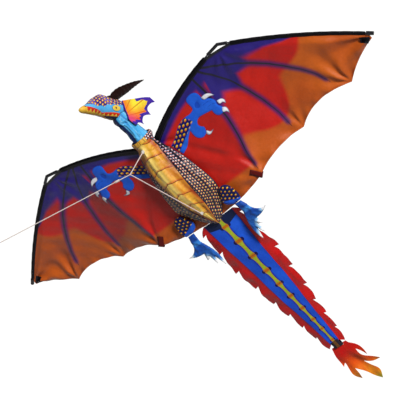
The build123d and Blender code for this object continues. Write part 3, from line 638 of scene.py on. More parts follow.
def sail_marks(p):
    """Print fields over the sail: airbrushed zones, ribs, dark leading band and hem."""
    x, z = p.T
    r, turn = from_wrist(x, z)
    lead, hem = (away(p, edge)[0] for edge in (TOP_EDGE, LOW_EDGE))
    glow, rib, near = np.zeros(len(p)), np.full(len(p), FAR), np.full(len(p), FAR)
    for line in RIBS:
        far, along = away(p, line)
        share = along / run_length(line)[-1]
        rib = np.minimum(rib, far - (3.3 - 2.5 * share) * (1 - smooth(share, 0.985, 1.0)))
        glow = np.maximum(glow, bell(far / (17 - 9 * share)) * (1 - smooth(share, 0.93, 1.0)))
        near = np.minimum(near, far)
    reach = np.interp(turn, (-60, -35, -15), (100, 112, 124)) + 34 * (1 - smooth(near, 4, 46))
    fan = (1 - smooth(r, reach - 34, reach + 18)) * smooth(turn, -107, -99) * (turn < 90)
    wide = np.interp(x, (0, 150, 250, 380, 450, 500, 545), (30, 31, 46, 54, 26, 16, 2))
    inner = (x < np.interp(z, RIBS[2][::-1, 1], RIBS[2][::-1, 0])) | (turn > 90)
    beside = np.where(inner, 1 - smooth(away(p, RIBS[2])[0], 6, 30), 0) * smooth(z, 60, 190)
    palm = 1 - smooth(np.hypot((x - 195) / 1.2, z - 150), 9, 17)
    violet = np.max([fan, 1 - smooth(lead, wide * 0.6, wide * 1.35), beside], axis=0) * (1 - palm)
    edge = 250 + 26 * np.cos(np.radians(turn + 71) * 6.2) * smooth(-turn, 20, 45) + np.interp(turn, (-45, -20), (0, 48))
    border = 22 + 7 * np.sin(turn / 9)
    orange = np.where(inner, smooth(-z, 62 - 0.02 * x, 92 - 0.02 * x), smooth(r, edge - border, edge + border))
    band = lead - np.interp(x, (0, 60, 200, 300, 385, 450, 700), (16, 15, 12, 9, 8, 3, 1))
    return {"violet": violet, "orange": orange, "glow": glow, "rib": rib, "band": band, "hem": hem}


sail_x = np.r_[np.linspace(11, 297.5, 104), np.linspace(300.2, 381, 34), np.linspace(383, 694, 118)]
sail_v = np.linspace(0, 1, 100)
grid_x, grid_v = np.meshgrid(sail_x, sail_v)
top_z, low_z = edge_at(grid_x, TOP_EDGE), edge_at(grid_x, LOW_EDGE)
flat_sail = pairs(grid_x.ravel(), (top_z + (low_z - top_z) * grid_v).ravel())
SAIL_AREA = float(((top_z - low_z)[0][:-1] * np.diff(sail_x)).sum()) * 1e-6
sail_material, marks = sail_print(), sail_marks(flat_sail)
sail_faces = grid_faces(len(sail_v), len(sail_x))[:, ::-1]
for hand, side in HANDS:
    sail = piece(f"{side}_sail_cloth", on_sail(flat_sail, hand), sail_faces, sail_material, f"{side}_wing",
                 f"{side}_sail", marks, 0.5, hand)


def black_nylon():
    s = Shader("black_nylon", sheen=0.0, specular=0.06)
    stitch = s.step(abs(s["seam"]), 0.8, 0.3) * s.step((s["along"] / 3.2).fract(), 0.28, 0.34)
    base = s.mottled("#040406", "#0e0d13", 20.0, 3.0)
    return s.cloth(s.mix(stitch, base, "#3a3944"), wear=0.04, crinkle=0.6, rough=(0.3, 0.5))


SLEEVE_ROWS = 150


def sleeve(part, bow, low, high, radius, flaps, hand, side):
    """Fabric tunnel round a bowed rod, sewn down beside it as a flat flap."""
    count = np.arange(SLEEVE_ROWS)
    along = np.linspace(low, high, SLEEVE_ROWS) * (len(bow) - 1)
    i = np.clip(along.astype(int), 0, len(bow) - 2)
    place = bow[i] + (along - i)[:, None] * (bow[i + 1] - bow[i])
    path = np.stack([place[:, 0] * COS, place[:, 0] * COS * TAN, place[:, 1]], 1)
    tangent = unit(np.gradient(path, axis=0))
    down = np.cross(tangent, (math.sin(DIHEDRAL), -COS, 0))
    down *= np.sign(-down[:, 2:3])
    flap, wave = np.linspace(*flaps, SLEEVE_ROWS), 0.25 * np.sin(count / 3.1)
    t = np.radians(np.linspace(52, 308, 18))
    round_rod = radius * (1 + 0.045 * np.sin(count[:, None] / 2.3 + 2 * np.sin(t)[None]) * np.cos(t)[None])
    lips = [pairs(flap * share, wave + lift)[:, None] for share, lift in ((1, 0.7), (0.72, 1), (0.72, -1), (1, -0.7))]
    profile = np.concatenate([*lips[:2], pairs(round_rod * np.cos(t), round_rod * np.sin(t)), *lips[2:]], 1)
    sides = profile.shape[1]
    points = skin_round(path, profile, down, np.cross(down, tangent))
    seam = profile[..., 0] - flap[:, None] * 0.8
    piece(f"{side}_{part}_casing", points, capped(SLEEVE_ROWS, sides), nylon, f"{side}_wing",
          f"{side}_{part}_sleeve", {"seam": seam, "along": np.repeat(run_length(path), sides)}, hand=hand)


PATCH_EDGE = np.array(((668, 19), (691, 4), (690, -2), (674, -10), (661, 5)), float)
nylon = black_nylon()
for hand, side in HANDS:
    sleeve("inner", INNER_BOW, 0.05, 0.955, 4.9, (15, 9.5), hand, side)
    sleeve("outer", OUTER_BOW, 0.02, 0.958, 4.3, (9.0, 6.5), hand, side)
    flat, faces, rim = fill(PATCH_EDGE, 3.0)
    patch = piece(f"{side}_tip_patch_cloth", on_sail(flat, hand, 0.9), faces, nylon, f"{side}_wing",
                  f"{side}_tip_patch", {"seam": rim - 2, "along": flat.sum(1)}, 0.8, hand)

# Pockets that hold the battens' ends
s = Shader("dark_red_cloth")
stitch = s.step(abs(s["edge"] - 2.0), 0.7, 0.2)
dark_red = s.cloth(s.mix(stitch, s.mottled("#4d0703", "#74120a", 30.0, 3.0), "#2a0402"), crinkle=0.5)
batten_dir, batten_side = (np.array((a, 0, b)) for a, b in (CREASE_DIR, (-CREASE_DIR[1], CREASE_DIR[0])))
steps = np.linspace(-32, 2, 14)
fold = [(a, -1.6 + 0.3 * math.sin(a / 4)) for a in steps]
fold += [(2 + 2.4 * math.cos(b), 2.2 + 3.8 * math.sin(b)) for b in np.linspace(-PI / 2, PI / 2, 9)[1:-1]]
fold += [(a, 6.0) for a in steps[::-1]]
points, faces = ribbon([np.array(CUSP_3) + batten_dir * a + np.array((0, y, 0)) for a, y in fold], batten_side, 18, 0.7)
for hand, side in HANDS:
    rim = 9 - np.abs((points - np.array(CUSP_3)) @ batten_side)
    made = piece(f"{side}_pocket_cloth", points, faces, dark_red, f"{side}_wing",
                 f"{side}_batten_pocket", {"edge": rim}, hand=hand)

# ---------------- Forelegs, sewn on the sails ----------------
ARM_TURN, ARM_FROM = math.radians(30.5), (60, 87)


def dotted(s, u, v, pitch_u, pitch_v, ground, rim, size):
    """Dark ground with rows of rounded orange and yellow scales."""
    fu, fv, far = s.dots(u, v, pitch_u, pitch_v)
    spot = s.mix(s.step(fu + fv * 0.6, -0.16, 0.14), "#e07818", "#ffd84a")
    return s.layers(ground, (s.step(far, size + 0.1, size + 0.02), rim), (s.step(far, size + 0.01, size - 0.06), spot))


def applique():
    s = Shader("blue_applique")
    colour = s.layers(
        s.mottled("#1f5fd6", "#3d86f0", 16.0, 3.0),
        (s["arm"], dotted(s, s["along"], s["over"], 17.0, 9.5, "#101a66", "#0c1048", 0.32)),
        (s.step(s["crease"], 1.3, 0.3) * 0.75, "#123a94"),
        (s.step(s["edge"], 1.7, 1.0) * 0.6, "#1848b0"),
    )
    return s.cloth(colour, crinkle=0.3)


def claw_cloth():
    s = Shader("white_claw_cloth")
    # painted shade: grey towards each claw's edges and bluish grey near its root, where the padded claw turns away from
    # the light
    base = s.mix(s.step(s["edge"], 0.2, 2.2), "#8f96ad", "#f7f7fb")
    return s.cloth(s.mix(s.step(s["tip"], 0.3, 0.0), base, "#c3cbe0"), wear=0.04, crinkle=0.3)


arm_outline = chained(
    (53, 106),
    (30, (82, 120), (107, 136), (137, 145), (159, 144)),
    (30, (176, 150), (177, 178), (193, 186), (214, 181), (218, 153)),
    (30, (240, 142), (246, 128), (244, 118), (250, 104), (240, 91)),
    (30, (227, 92), (219, 103), (219, 115)),
    (30, (192, 120), (167, 118), (158, 106), (168, 92)),
    (30, (160, 75), (145, 71), (128, 85), (128, 107)),
    (30, (112, 96), (90, 78), (66, 68)),
)
arm_outline = resampled(closed(np.vstack([arm_outline, (66, 68)])), 2.6)[:-1]
FINGERS = (
    ((209, 141), (225, 141), (240, 137)), ((212, 128), (228, 129), (246, 122)), ((166, 113), (176, 122), (190, 124)),
)
CLAWS = np.array((
    ((218, 160), (232, 162), (245, 157), (254, 143), (239, 149), (221, 152)),
    ((249, 127), (262, 124), (266, 115), (262, 106), (258, 114), (251, 115)),
    ((248, 104), (255, 99), (256, 90), (252, 78), (248, 88), (242, 91)),
    ((160, 72), (164, 66), (174, 66), (186, 72), (172, 73), (166, 80)),
), float)
t, spin = circle(16), math.radians(60)
hole = pairs(8.5 * np.cos(t), 6.5 * np.sin(t) * (1 - 0.35 * np.cos(t)))
hole = hole @ np.array(((math.cos(spin), math.sin(spin)), (-math.sin(spin), math.cos(spin)))) + (195, 151)
blue_cloth, claw_white = applique(), claw_cloth()
for hand, side in HANDS:
    flat, faces, edge = fill(arm_outline, 2.6, hole)
    edge = np.minimum(edge, away(flat, closed(hole))[0])
    x, z = (flat - ARM_FROM).T
    along, over = (x * math.cos(ARM_TURN) + z * math.sin(ARM_TURN), z * math.cos(ARM_TURN) - x * math.sin(ARM_TURN))
    arm = (1 - smooth(along, 98, 101)) * smooth(over + 0.07 * along, -8.5, -7)
    crease = np.min([away(flat, through(f, 12))[0] for f in FINGERS], axis=0)
    made = piece(f"{side}_foreleg_cloth", on_sail(flat, hand, 0.9 + 0.9 * smooth(edge, 0, 5)), faces, blue_cloth,
                 f"{side}_wing", f"{side}_foreleg",
                 {"edge": edge, "along": along, "over": over, "arm": arm, "crease": crease}, 0.5, hand)
    parts = []
    for claw in CLAWS:
        out = np.vstack([through(claw[:4], 14)[:-1], through(closed(claw)[3:], 14)[:-1]])
        flat, faces, edge = fill(out, 1.8)
        parts.append((on_sail(flat, hand, 1.5 + 1.1 * smooth(edge, 0, 3.5)), faces,
                      {"edge": edge, "tip": np.linalg.norm(flat - claw[0], axis=1) / 30}))
    points, faces, claw_marks = joined(parts)
    piece(f"{side}_claws", points, np.array(faces), claw_white, f"{side}_wing",
          f"{side}_foreleg_claws", claw_marks, 0.5, hand)

# ---------------- Body ----------------
# z, half width, depth in front of the spine
BODY = through(((-150, 4, 11), (-139, 22, 16), (-105, 53, 30), (-62, 79, 45), (0, 78, 61), (65, 66, 61), (120, 47, 50),
                (150, 35, 38)), 240)
GOLD = through(((-152, 1), (-112, 15), (-70, 28), (20, 37), (85, 39), (150, 32), (182, 24)), 120)  # z, seam's x
N_GOLD, N_FLANK, N_BACK = 16, 28, 10  # points round half a section
N_FRONT, N_HALF = N_GOLD + N_FLANK, N_GOLD + N_FLANK + N_BACK
BODY_TOP, BACK_Y = 150, -7
COLLAR_LOW, COLLAR_TOP, COLLAR_R = 166.0, 177.5, 32.8


def body_row(z):
    """Half a section of the body from the ridge round to the middle of its back."""
    w, d = (np.interp(min(z, BODY_TOP), BODY[:, 0], BODY[:, k]) for k in (1, 2))
    share = smooth(z, BODY_TOP, COLLAR_LOW)
    middle = (w / 2 + (d + BACK_Y) * 0.045, -(d - BACK_Y) / 2 - w * 0.045)
    t = np.linspace(-PI / 2, 0, 61)
    front = arc((0, -d), middle, (w, BACK_Y), 60) * (1 - share) + COLLAR_R * pairs(np.cos(t), np.sin(t)) * share
    f = np.linspace(0, 1, 61)
    at = np.interp(min(np.interp(z, GOLD[:, 0], GOLD[:, 1]), front[-1, 0] * 0.97), front[:, 0], f)
    places = np.r_[np.linspace(0, at, N_GOLD + 1), np.linspace(at, 1, N_FLANK + 1)[1:]]
    skin = pairs(*(np.interp(places, f, front[:, k]) for k in range(2)))
    q = np.linspace(0, 1, N_BACK + 1)[1:]
    sine, cosine = np.sin(q * PI / 2), np.cos(q * PI / 2)
    rear = pairs(w * (1 - q), BACK_Y + 2.2 * sine) * (1 - share) + COLLAR_R * pairs(cosine, sine) * share
    return np.vstack([skin, rear])


body_z = np.r_[np.linspace(-149, BODY_TOP, 118), np.linspace(152.5, COLLAR_TOP, 10)]
half = np.array([body_row(z) for z in body_z])
around = np.concatenate([half, half[:, -2:0:-1] * (-1, 1)], 1)
rows, columns = around.shape[:2]
up = body_z[:, None]
high = np.broadcast_to(up, (rows, columns))
column = np.arange(columns)
hand_of = np.where(column < columns / 2, 1.0, -1.0)
column = np.minimum(column, columns - column)  # counted from the ridge on both sides
share = np.clip(column / N_FRONT, 0, 1)[None]
lie = smooth(up, -140, -95) * (1 - smooth(up, 135, 162)) * smooth(share, 0.03, 0.12) * (1 - smooth(share, 0.86, 0.98))
fold = 2.6 * np.sin(ROUND * (2.6 * share - 0.35 * up / 150) + 0.6 * np.sin(up / 29) + hand_of)
fold += 1.0 * np.sin(ROUND * 5.3 * share + up / 21 + 2 * hand_of)
fold += 2.4 * np.sin(9 * np.arctan2(60 * share, 150 - up) - 0.4) * bell(np.hypot(up - 148, 60 * share) / 60)
inward = around / np.maximum(np.linalg.norm(around, axis=2, keepdims=True), 1)
held = np.broadcast_to(np.isin(column, (0, N_GOLD)) | (column >= N_FRONT), (rows, columns)).copy()
held[body_z > BODY_TOP] = True
held[:2] = True
body_skin = puff(np.dstack([around, high]).reshape(-1, 3), capped(rows, columns), held.ravel(), grow=0.03, pressure=2.0,
                 cap=3.0).reshape(rows, columns, 3)
body_skin[..., :2] += inward * (fold * lie)[..., None]
girth = run_length(half)


def gold_print():
    s = Shader("gold_print", sheen=0.04, specular=0.24)
    off = abs(s["wide"])
    part = (s["high"] / 44.0 + off * 0.42 + s.noise(20.0) * 0.3 + 8.0).fract()
    # how strongly the belly's sides darken: partly the scutes' printed orange margins, partly painted shade where the
    # sides turn away from the light
    margin_and_shade_strength = s.step(s.noise(30.0, 2.0, (1, 1, 0.4)), 0.42, 0.62) * 0.5 + 0.45
    colour = s.layers(
        s.mottled("#d6860e", "#ffda58", 26.0, 3.0, LONG),
        # painted highlight: paler gold along the belly's ridge
        (s.step(off, 0.4, 0.1) * 0.75, "#ffe88c"),
        (s.step(part, 0.22, 0.02) * 0.8, "#c8580c"),
        (s.step(part, 0.055, 0.025), "#2a1004"),
        (s.step(s.noise(55.0, 2.0, (1, 1, 0.25)), 0.5, 0.62) * 0.35, "#c8560c"),
        # darker, browner sides: printed scute margins and painted shade
        (s.step(off, 0.45, 0.85) * margin_and_shade_strength, "#a83c06"),
        # painted shade: dark brown lengthwise streaks, stronger towards the belly's sides, as in the valleys of folds
        (s.step(s.noise(24.0, 2.0, LONG), 0.5, 0.66) * (off * 0.8), "#6a3206"),
        (s.step(off, 0.955, 0.99), "#2a1208"),
    )
    return s.cloth(colour, crinkle=0.55, rough=(0.26, 0.46))


def scale_print():
    s = Shader("scale_print", specular=0.34)
    high = s["high"]
    fu, fv, far = s.dots(high, s["girth"], 9.6, 7.6)
    warm = s.mix(s.step(fu + fv, -0.2, 0.15), "#d8741c", "#ffdf86")
    cool = s.mix(s.step(fu + fv, -0.1, 0.12), "#e07a2c", "#f7ecf8")
    colour = s.layers(
        s.mottled("#07061a", "#1a0d24", 12.0),
        (s.step(far, 0.4, 0.32), "#3c1f66"),
        (s.step(far, 0.31, 0.24), s.mix(s.step(high + s.noise(15.0) * 120.0, 430.0, 560.0), warm, cool)),
    )
    return s.cloth(colour, wear=0.03, crinkle=0.5, rough=(0.22, 0.42))


def body_patch(name, picked, material, node, marks):
    piece(name, body_skin[:, picked].reshape(-1, 3), grid_faces(rows, len(picked)), material, "airframe", node,
          {key: values[:, picked] for key, values in marks.items()}, 0.5)


gold_cloth, scale_cloth = gold_print(), scale_print()
wide = np.broadcast_to(hand_of * column / N_GOLD, (rows, columns))
body_patch("belly_cloth", [*range(columns - N_GOLD, columns), *range(N_GOLD + 1)], gold_cloth,
           "belly_panel", {"wide": wide, "high": high})
scale_girth = girth[:, column] - (girth[:, [N_GOLD]] + girth[:, [N_FRONT]]) / 2 + 200
for side, low, end in (("right", N_GOLD, N_HALF + 1), ("left", N_HALF, columns - N_GOLD + 1)):
    body_patch(f"{side}_flank_cloth", list(range(low, end)), scale_cloth, f"{side}_flank",
               {"girth": scale_girth, "high": high + 400})

# Piping along the body's seams
s = Shader("dark_binding")
navy_binding = s.cloth(s.mottled("#120d22", "#2e2440", 90.0), crinkle=0.3)
out = normals(body_skin.reshape(-1, 3), grid_faces(rows, columns, True)).reshape(body_skin.shape)
piping = (body_skin + out * 0.3)[2:-6]
width = 0.9 + 0.15 * np.sin(np.arange(len(piping)) * 1.9)
parts = [(*tube(piping[:, j], width, sides=8, start=(1, 0.2, 0)), {})
         for j in (N_GOLD, N_FRONT, columns - N_FRONT, columns - N_GOLD)]
points, faces, _ = joined(parts)
piece("body_seams", points, faces, navy_binding, "airframe")

# Collar
COLLAR_SIDES, COLLAR_Z = 120, 170


def collar_print():
    s = Shader("collar_print", specular=0.24)
    fu, _, far = s.dots(s["girth"], s["high"], 8.5, 7.0)
    scales = s.mix(s.step(far, 0.38, 0.3), "#0d0a20", s.mix(s.step(fu, -0.2, 0.1), "#e2862a", "#f6eaf6"))
    gold = s.mix(s.step((s["girth"] / 15.0).fract(), 0.14, 0.06), s.mottled("#c7881a", "#ffd95e", 40.0, 3.0), "#3a1d06")
    return s.cloth(s.mix(s["front"], scales, gold), wear=0.04, crinkle=0.5, rough=(0.28, 0.48))


lip = through(((33.0, -4.5), (34.6, -3.5), (35.3, 0), (35.1, 5), (34.0, 8.6), (32.6, 9.6), (31.8, 8.4), (32.2, 4),
               (32.5, -3.8)), 22)
turn = circle(COLLAR_SIDES)[:, None]
reach = lip[None, :, 0] * (1 + 0.02 * np.sin(turn * 23) * np.clip(lip[None, :, 1] / 8, 0, 1))
collar_z = COLLAR_Z + lip[None, :, 1] + 0.4 * np.sin(turn * 7)
collar_points = np.stack([np.sin(turn) * reach, -np.cos(turn) * reach, collar_z], -1)
collar_faces = np.roll(grid_faces(COLLAR_SIDES, len(lip), True, True)[:, ::-1], 1, axis=1)
facing = np.abs((turn + PI) % ROUND - PI)
piece("collar_cloth", collar_points.reshape(-1, 3), collar_faces, collar_print(), "airframe", "body_collar",
      {"girth": turn * 34 + 10 + 0 * reach, "high": collar_z, "front": 1 - smooth(facing, 0.75, 0.85) + 0 * reach})

# Webbing tabs that hold the bridle
s = Shader("webbing", sheen=0.05)
web_cloth = s.cloth(s.mix(s.step(s.waves(0.0022), -0.2, 0.4), "#cfc8c0", "#fbf7f0"), weave=0.0016, depth=0.6)
parts = []
for _, y, z in (FRONT_LOOP, REAR_LOOP):
    fold = [(-1.5, y + 14), (-1.5, y + 8), (-1.6, y + 2)]
    fold += [(1.6 * math.sin(a), y - 1.2 - 1.8 * math.cos(a)) for a in np.linspace(-PI / 2, PI / 2, 9)]
    fold += [(1.6, y + 2), (1.5, y + 8), (1.5, y + 14)]
    parts.append((*ribbon([(x, b, z) for x, b in fold], (0, 0, 1), 8.0, 0.8), {}))
points, faces, _ = joined(parts)
piece("bridle_tabs", points, faces, web_cloth, "airframe", "tow_loops")

# ---------------- Neck ----------------
NECK_SIDES = 88


def neck_print():
    s = Shader("neck_print")
    colour = s.layers(
        s.mottled("#2fa3dc", "#7cd0f5", 22.0, 3.0, (1, 1, 0.35)),
        (s.step(s.noise(60.0, 3.0, (1, 1, 0.2)), 0.5, 0.7) * 0.7, "#1670b4"),
        # painted highlight: thin pale lines where the neck's wrinkles catch the light
        (s.step(abs(s.noise(56.0, 3.0, (1, 1, 0.4)) - 0.5), 0.03, 0.006) * 0.55, "#b4e6ff"),
        # navy strip down the neck: partly a navy underside print, partly painted shade of the neck's left side
        (s["under_print_and_shade"], "#0b2a5c"),
    )
    return s.cloth(colour, crinkle=0.6, rough=(0.34, 0.52))


def dome(y, z, radius, angles):
    """Rows of a rounded end: y, z and radius."""
    return [(y, z + radius * math.sin(a), radius * math.cos(a)) for a in np.radians(angles)]


neck_rows = np.vstack([dome(0.0, 170, 24.6, np.linspace(-80, -2, 9)),
                       through(((0, 174, 24.6), (-1.5, 205, 22.3), (-5, 235, 21.6), (-6, 254, 22.2)), 60),
                       dome(-6.0, 256, 22.2, np.linspace(4, 80, 9))])
y, z, radius = (neck_rows[:, [k]] for k in range(3))
turn = circle(NECK_SIDES)[None]
window = smooth(z, 176, 192) * (1 - smooth(z, 236, 252))
pleat = np.sin(9 * turn + 1.1 * np.sin(z / 13) + z / 37) + 0.6 * np.sin(17 * turn - z / 21)
radius = radius + 0.75 * window * pleat
neck_points = np.stack([radius * np.sin(turn), y - radius * np.cos(turn), z + 0 * radius], -1).reshape(-1, 3)
neck_faces = capped(len(neck_rows), NECK_SIDES)
held = np.broadcast_to(window < 0.02, radius.shape).ravel()
neck_skin = puff(neck_points, neck_faces, held, grow=0.07, pressure=2.5, cap=2.2)
# the navy strip is centred 30 degrees to the left of the front, on the side that faces away from the key light: partly
# print, partly painted shade
strip = np.abs((turn + math.radians(30) + PI) % ROUND - PI)
piece("neck_cloth", neck_skin, neck_faces, neck_print(), "neck", "neck_tube",
      {"under_print_and_shade": 1 - smooth(strip, 0.46, 0.56) + 0 * radius})

# ---------------- Head ----------------
PITCH = math.radians(31.8)
# ahead of the head's back, middle above the axis, half height, half width
HEAD = through(((-13, 0, 17, 13), (0, 0, 28, 23), (30, 2, 32, 26.5), (60, 8.5, 32.5, 26.5), (90, 12, 27, 24),
                (120, 7, 18, 18), (145, 3.5, 11, 12.5), (162, 2, 6.5, 8), (168, 1.5, 3, 4)), 240)
SOCKET = (8.2, -28.6, 23.4)
HINGE_TOP, HINGE_LOW = np.array((18.0, 290.0)), np.array((-20.0, 245.0))
HINGE_RUN = unit(HINGE_LOW - HINGE_TOP)


def head_place(t, x, v):
    """Point t ahead of the head's back, x to the side and v above its axis."""
    y = 16 - t * math.cos(PITCH) + v * math.sin(PITCH)
    z = 276 + t * math.sin(PITCH) + v * math.cos(PITCH)
    return np.stack([x + 0 * y, y, z], -1)


def head_size(t):
    return [np.interp(t, HEAD[:, 0], HEAD[:, k]) for k in (1, 2, 3)]


def mouth_line(t):
    return 0.5 + (0.5 + 22) / (168 - 31) * (t - 168) + 1.2 * np.sin(np.clip(t, 20, 168) / 22)


def mouth_turn(t):
    c, h, _ = head_size(t)
    return np.arcsin(np.clip((mouth_line(t) - c) / h, -1, 1))


def head_skin(t, turn):
    """Skin of the stuffed head: wrinkled, pinched in at the mouth seam, hollow where the neck enters."""
    c, h, w = head_size(t)
    sine, cosine = np.sin(turn), np.cos(turn)
    lump = 1 + 0.012 * np.sin(t / 7 + 3 * turn) * np.sin(2 * turn + t / 19) + 0.008 * np.sin(t / 3.7 - 5 * turn)
    brow = 1 + 0.10 * bell((t - 52) / 15) * bell((sine - 0.45) / 0.28)
    knob = 4.5 * bell((t - 66) / 17) * bell((np.abs(cosine) - 0.45) / 0.3) * (sine > 0)
    v = c + h * sine * lump + knob
    x = w * cosine * lump * brow * (1 - 0.07 * bell((v - mouth_line(t)) / 2.2))
    dome = SOCKET[2] ** 2 - (t - SOCKET[0]) ** 2 - x**2
    roof = SOCKET[1] + np.sqrt(np.maximum(dome, 0))
    return x, np.where((dome > 0) & (v < roof) & (v < -5), roof, v)


def head_part(t_rows, low, high, sides, drop=0.0):
    """The head's skin between two turns per row: (t, v, distance round, points, faces)."""
    turn = low[:, None] + (high - low)[:, None] * np.linspace(0, 1, sides)[None]
    t = np.broadcast_to(t_rows[:, None], turn.shape)
    x, v = head_skin(t, turn)
    for end in (0, -1):
        x[end] *= 0.03
        v[end] = v[end, 0] + (v[end] - v[end, 0]) * 0.03
    points = head_place(t, x, v - drop).reshape(-1, 3)
    faces = grid_faces(len(t_rows), sides)[:, ::-1]
    if (normals(points, faces) * (points - head_place(t, 0 * x, head_size(t)[0]).reshape(-1, 3))).sum() < 0:
        faces = faces[:, ::-1]
    return t, v, run_length(pairs(x, v)), points, faces


def teeth_print(s, t, mouth):
    """Red gums over yellow teeth; mouth is the height above the bottom seam."""
    reach = abs((t / 13.5).fract() - 0.5) * 17.0 + s.step(t, 104.0, 70.0) * -7.0 - 4.4
    return s.layers(
        s.mottled("#cc1c06", "#ee4412", 30.0),
        (s.step(mouth - reach, 0.5, -0.5), s.mottled("#f2b41e", "#ffe468", 36.0)),
        (s.step(abs(mouth - reach - 0.6), 0.8, 0.2), "#8a1c06"),
    )


def head_print():
    s = Shader("head_print", specular=0.24)
    t, mouth = s["ahead"], s["mouth"]
    fu, _, far = s.dots(t, s["girth"], 12.0, 9.5)
    ground = s.mix(s.step(s.noise(34.0), 0.48, 0.6), "#2c1c84", "#8a78cc")
    crown = s.layers(ground, (s.step(far, 0.48, 0.4), "#1c1060"),
                     (s.step(far, 0.36, 0.29), s.mix(s.step(fu, -0.12, 0.1), "#dc6c14", "#ffe27c")))
    colour = s.layers(
        s.mottled("#2fa4e6", "#86d8fa", 24.0, 3.0),
        (s.step(s["above"] + (t / 4.2).sine() * 1.1, -0.6, 0.6), crown),
        (s.step(mouth - s["band"], 0.5, -0.4), teeth_print(s, t, mouth)),
        (s.step(t + mouth * -0.15, 145.0, 149.0), s.mottled("#f0b020", "#ffe873", 28.0)),
        (s.step(abs(t - 151.0), 3.4, 2.0) * s.step(abs(mouth - 8.0), 2.2, 1.0), "#5a1c08"),
        (s.step(s["hinge"], 3.5, 1.0), "#3a1c86"),
    )
    return s.cloth(colour, wear=0.04, crinkle=0.4, rough=(0.3, 0.5))


def jaw_print():
    s = Shader("jaw_print")
    t, below = s["ahead"], s["below"]
    colour = s.layers(
        # near-black navy below the teeth: partly the jaw's navy print, partly painted shade under the head
        s.mottled("#060a1a", "#101c3c", 18.0, 3.0),
        (s.step(below, 11.5, 10.5), teeth_print(s, t, below * -1.0)),
        (s.step(below, 1.2, 0.5) * s.step(t, 118.0, 108.0), "#e8841c"),
        (s.step(t, 146.0, 150.0), s.mottled("#e8a81c", "#ffe468", 28.0)),
        (s.step(abs(below - 11.4), 0.9, 0.3), "#d0780e"),
    )
    return s.cloth(colour, crinkle=0.45)


t_rows = np.r_[-12.9, -12.9, -12.0, np.linspace(-10, 160, 86), 163.0, 165.5, 167.2, 168.0, 168.0]
t, v, girth, points, faces = head_part(t_rows, mouth_turn(t_rows), PI - mouth_turn(t_rows), 84)
crown_low = np.interp(t, (-13, 24, 52, 70, 87, 111, 128, 135, 145), (-1, -1, 1.5, 2.4, -0.6, 3.1, 9.1, 15.5, 40))
rel = points[:, 1:] - HINGE_TOP
piece("head_cloth", points, faces, head_print(), "head", "head_shell",
      {"ahead": t, "above": v - crown_low, "mouth": v - mouth_line(t), "girth": girth - girth[:, [42]] + 300,
       "band": np.interp(t, (-13, 90, 112, 135, 168), (-1, 0.5, 5.0, 8.0, 9.0)),
       "hinge": rel[:, 0] * HINGE_RUN[1] - rel[:, 1] * HINGE_RUN[0]}, 0.6)
jaw_rows = np.r_[14.5, t_rows[t_rows > 14]]
t, _, run, points, faces = head_part(jaw_rows, -PI - mouth_turn(jaw_rows), mouth_turn(jaw_rows), 40, 0.25)
piece("jaw_cloth", points, faces, jaw_print(), "head", "lower_jaw",
      {"ahead": t, "below": np.minimum(run, run[:, -1:] - run)}, 0.6)


# Eyes
def eye_print():
    s = Shader("eye_print", sheen=0.0, coat=0.3)
    a, b = s["a"], s["b"]
    pupil = span((a - 0.15) * 2.2, b)
    colour = s.layers(
        s.mottled("#f2c61c", "#fff27a", 40.0),
        (s.step(pupil, 0.46, 0.36), "#c87a12"),
        (s.step(pupil, 0.26, 0.2), "#1c1208"),
        (s.step(span(a, b), 0.84, 0.92), "#1a4f8c"),
    )
    return s.cloth(colour, wear=0.0, crinkle=0.2, rough=(0.22, 0.36))


parts = []
rho, psi = np.meshgrid(np.linspace(0.02, 1, 9), circle(36), indexing="ij")
a, b = rho * np.cos(psi), rho * np.sin(psi) * (1 - 0.25 * np.cos(psi) ** 2)
t, v = 41 + 17.5 * a + 1.5 * b, -9.0 + 8.4 * b + 0.6 * a
c, h, w = head_size(t)
x = w * np.sqrt(np.maximum(0, 1 - ((v - c) / h) ** 2)) + 0.5 + 1.3 * (1 - rho**2)
for hand, _ in HANDS:
    parts.append((head_place(t, hand * x, v).reshape(-1, 3), grid_faces(9, 36, True)[:, ::hand], {"a": a, "b": b}))
points, faces, eye_marks = joined(parts)
piece("eye_patches", points, np.array(faces), eye_print(), "head", "eyes", eye_marks, 0.5)

# Horns
HORN_SIDES = 24
s = Shader("horn_cloth", sheen=0.0, specular=0.04)
horn_cloth = s.cloth(s.layers(s.mottled("#060201", "#2a120a", 14.0, 4.0, (1, 0.3, 1)),
                              (s.step((s["along"] / 15.0).fract(), 0.2, 0.05) * 0.6, "#0a0403")), crinkle=0.6)
path = through(((14, -2, 311), (19, 20, 312), (25, 67, 302), (30, 118, 288), (32, 169, 271)), 70)
share, t = np.linspace(0, 1, 71)[:, None], circle(HORN_SIDES)
tall = np.interp(share, (0, 0.12, 0.3, 0.5, 0.75, 0.93, 1), (9.5, 12.5, 13.2, 11.2, 6.6, 2.4, 0.7))
tall = tall * (1 + 0.035 * np.sin(share * 62))
profile = pairs(tall * 0.66 * np.cos(t) * (1 + 0.05 * np.sin(share * 40) * np.sin(t)), tall * np.sin(t))
points, faces = sweep(path, profile, (1, 0, 0))
for hand, side in HANDS:
    piece(f"{side}_horn_cloth", points, faces, horn_cloth, "head", f"{side}_horn",
          {"along": np.repeat(run_length(path), HORN_SIDES)}, hand=hand)


